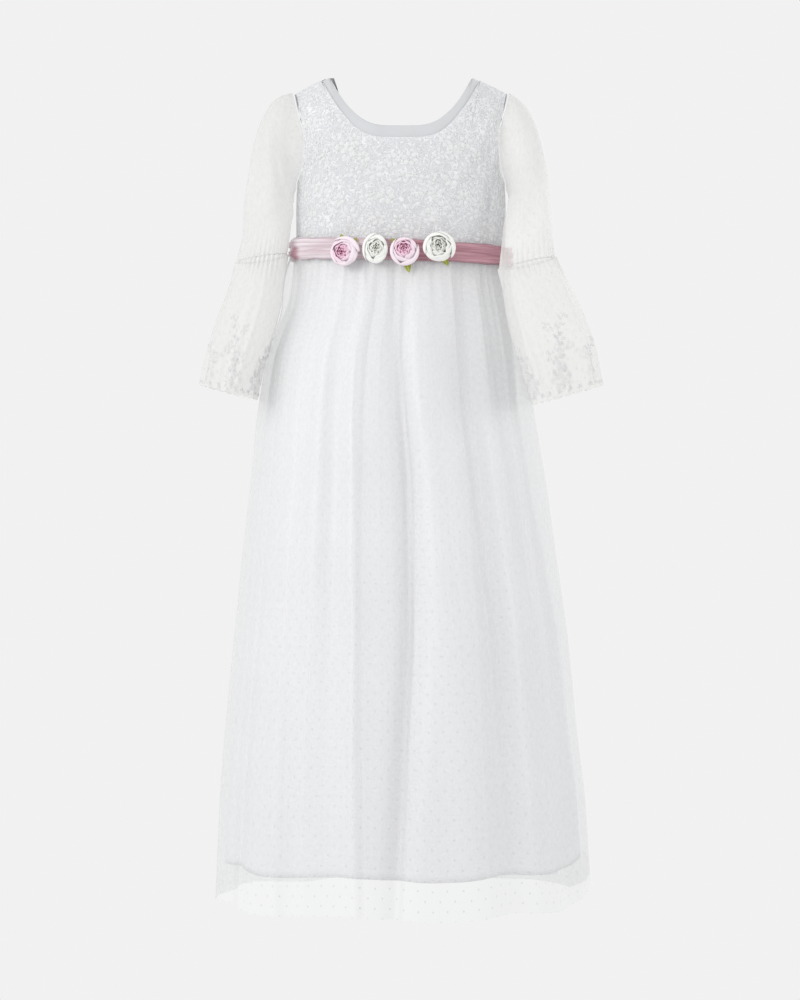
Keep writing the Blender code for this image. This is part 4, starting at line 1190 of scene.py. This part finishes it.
# The white roses' greener heart and deep colours are painted shade; the pink roses' deeper pinks are dye
PETAL_CLOTHS = {
    "pink": petal_cloth("dyed pink petal cotton", "#F6E8F0", "#F7CDE2", "#F973B4", hearts("pink")),
    "white": petal_cloth("cream petal cotton", "#F5F5F2", "#F1F3EC", "#EDF1E8", hearts("white")),
}
for rose in ROSES:
    lay, count = petals_of(rose)
    piece = sew(f"petals_{rose.node}", lay, 12, 8, count=count)
    dress(piece, PETAL_CLOTHS[rose.colour], f"rose_{rose.colour}", rose.node)
    thicken(piece, PETAL_THICKNESS)


# Leaves: small stamped cloth leaves, yellow green with a paler midrib, tucked behind the roses.
# They are stiffened, folded a little along the midrib, and curl at the tip.

LEAVES = table(
    "rose points start tip",
    (0, 106.0, 0.0075, 0.0255),
    (0, 50.0, 0.0075, 0.0240),
    (1, 118.0, 0.0075, 0.0215),
    (2, 136.0, 0.0075, 0.0240),
    (2, 282.0, 0.0075, 0.0280),
    (3, 302.0, 0.0075, 0.0265),
)
LEAF_HALF_WIDTH = 0.0042
LEAF_OFF_SASH = 0.0004
LEAF_THICKNESS = 0.0004
LEAF_TEETH = 6.0
LEAF_TOOTH_DEPTH = 0.07
LEAF_FOLD = 0.0014
LEAF_CURL = 0.0016
LEAF_VEINS = 44.0

leaf_cloth, tree, shader = cloth_material("stamped leaf cotton", "#A5AF32", 0.6, Sheen_Weight=0.1)
place = cloth_place(tree, "UV")
from_rib = maths(tree, "ABSOLUTE", maths(tree, "SUBTRACT", part_of(tree, place, "Y"), 0.5))
rib = ramp(tree, from_rib, 0.02, 0.09, 1.0, 0.0)
slanted = maths(tree, "SUBTRACT", from_rib, part_of(tree, place, "X"))
veins = ramp(tree, maths(tree, "SINE", maths(tree, "MULTIPLY", slanted, LEAF_VEINS)), 0.6, 1.0, 0.0, 0.5)
mark = maths(tree, "MAXIMUM", rib, veins)
weave(tree, shader, blend(tree, mark, "#9AA52A", "#D9DE8C"), mark, 0.5, 0.0004)


def leaf_lies(leaf):
    middle, right, up, outward = on_sash(ROSES[leaf.rose].x, ROSES[leaf.rose].drop)
    ahead = right * cos(radians(leaf.points)) + up * sin(radians(leaf.points))
    beside = np.cross(outward, ahead)

    def place(u, v, number):
        reach = leaf.start + (leaf.tip - leaf.start) * u
        teeth = 1.0 + LEAF_TOOTH_DEPTH * np.abs(np.sin(LEAF_TEETH * pi * u))
        half_width = LEAF_HALF_WIDTH * np.maximum(0.05, np.sin(pi * np.clip(u, 0.0, 1.0)) ** 0.8 * teeth)
        across = 2.0 * v - 1.0
        off = LEAF_OFF_SASH + LEAF_FOLD * np.abs(across) * np.sin(pi * u) + LEAF_CURL * u**3
        flat = middle + reach[:, None] * ahead + (half_width * across)[:, None] * beside
        return flat + off[:, None] * outward

    return place


for number, leaf in enumerate(LEAVES):
    piece = sew(f"stamped_leaf_{number + 1}", leaf_lies(leaf), 24, 10)
    dress(piece, leaf_cloth, "leaf", f"leaf_{number + 1}")
    thicken(piece, LEAF_THICKNESS)


# Studio: a plain pale backdrop, and an even sky that fills the shadows. A broad soft light from the
# front left models the folds, and weaker ones do so from the right and from behind.

BACKDROP = "#F1F1F1"
SKY_STRENGTH = 0.83

world = bpy.data.worlds.new("pale studio")
world.use_nodes = True
tree = world.node_tree
sky = tree.nodes["Background"]
sky.inputs["Color"].default_value = linear("#F4F4F4")
sky.inputs["Strength"].default_value = SKY_STRENGTH
backdrop = add_node(tree, "ShaderNodeBackground", {"Color": linear(BACKDROP), "Strength": 1.0})
seen = add_node(tree, "ShaderNodeLightPath")
chosen = add_node(
    tree, "ShaderNodeMixShader", {0: seen.outputs["Is Camera Ray"], 1: sky.outputs[0], 2: backdrop.outputs[0]}
)
tree.links.new(chosen.outputs[0], tree.nodes["World Output"].inputs["Surface"])
bpy.context.scene.world = world

SOFT_BOXES = table(
    "name place aim size watts",
    ("key light", (-2.7, -2.7, 0.9), (0.0, 0.0, -0.5), 2.0, 62.0),
    ("right light", (3.3, -0.8, 0.3), (0.0, 0.0, -0.5), 1.6, 26.0),
    ("rear light", (1.6, 3.0, 1.0), (0.0, 0.0, -0.5), 1.6, 32.0),
)
for box in SOFT_BOXES:
    lamp = bpy.data.lights.new(box.name, "AREA")
    lamp.shape = "DISK"
    lamp.size = box.size
    lamp.energy = box.watts
    holder = bpy.data.objects.new(box.name, lamp)
    holder.location = box.place
    holder.rotation_euler = (Vector(box.aim) - Vector(box.place)).to_track_quat("-Z", "Y").to_euler()
    bpy.context.scene.collection.objects.link(holder)

CAMERA_PLACE = (-0.00135, -3.6, -0.5697)
lens = bpy.data.cameras.new("front camera")
lens.lens = 96.0
lens.sensor_width = 36.0
lens.clip_end = 100.0
camera = bpy.data.objects.new("front camera", lens)
camera.location = CAMERA_PLACE
camera.rotation_euler = (radians(90.0), 0.0, 0.0)
bpy.context.scene.collection.objects.link(camera)
bpy.context.scene.camera = camera
bpy.context.scene.view_settings.view_transform = "Standard"
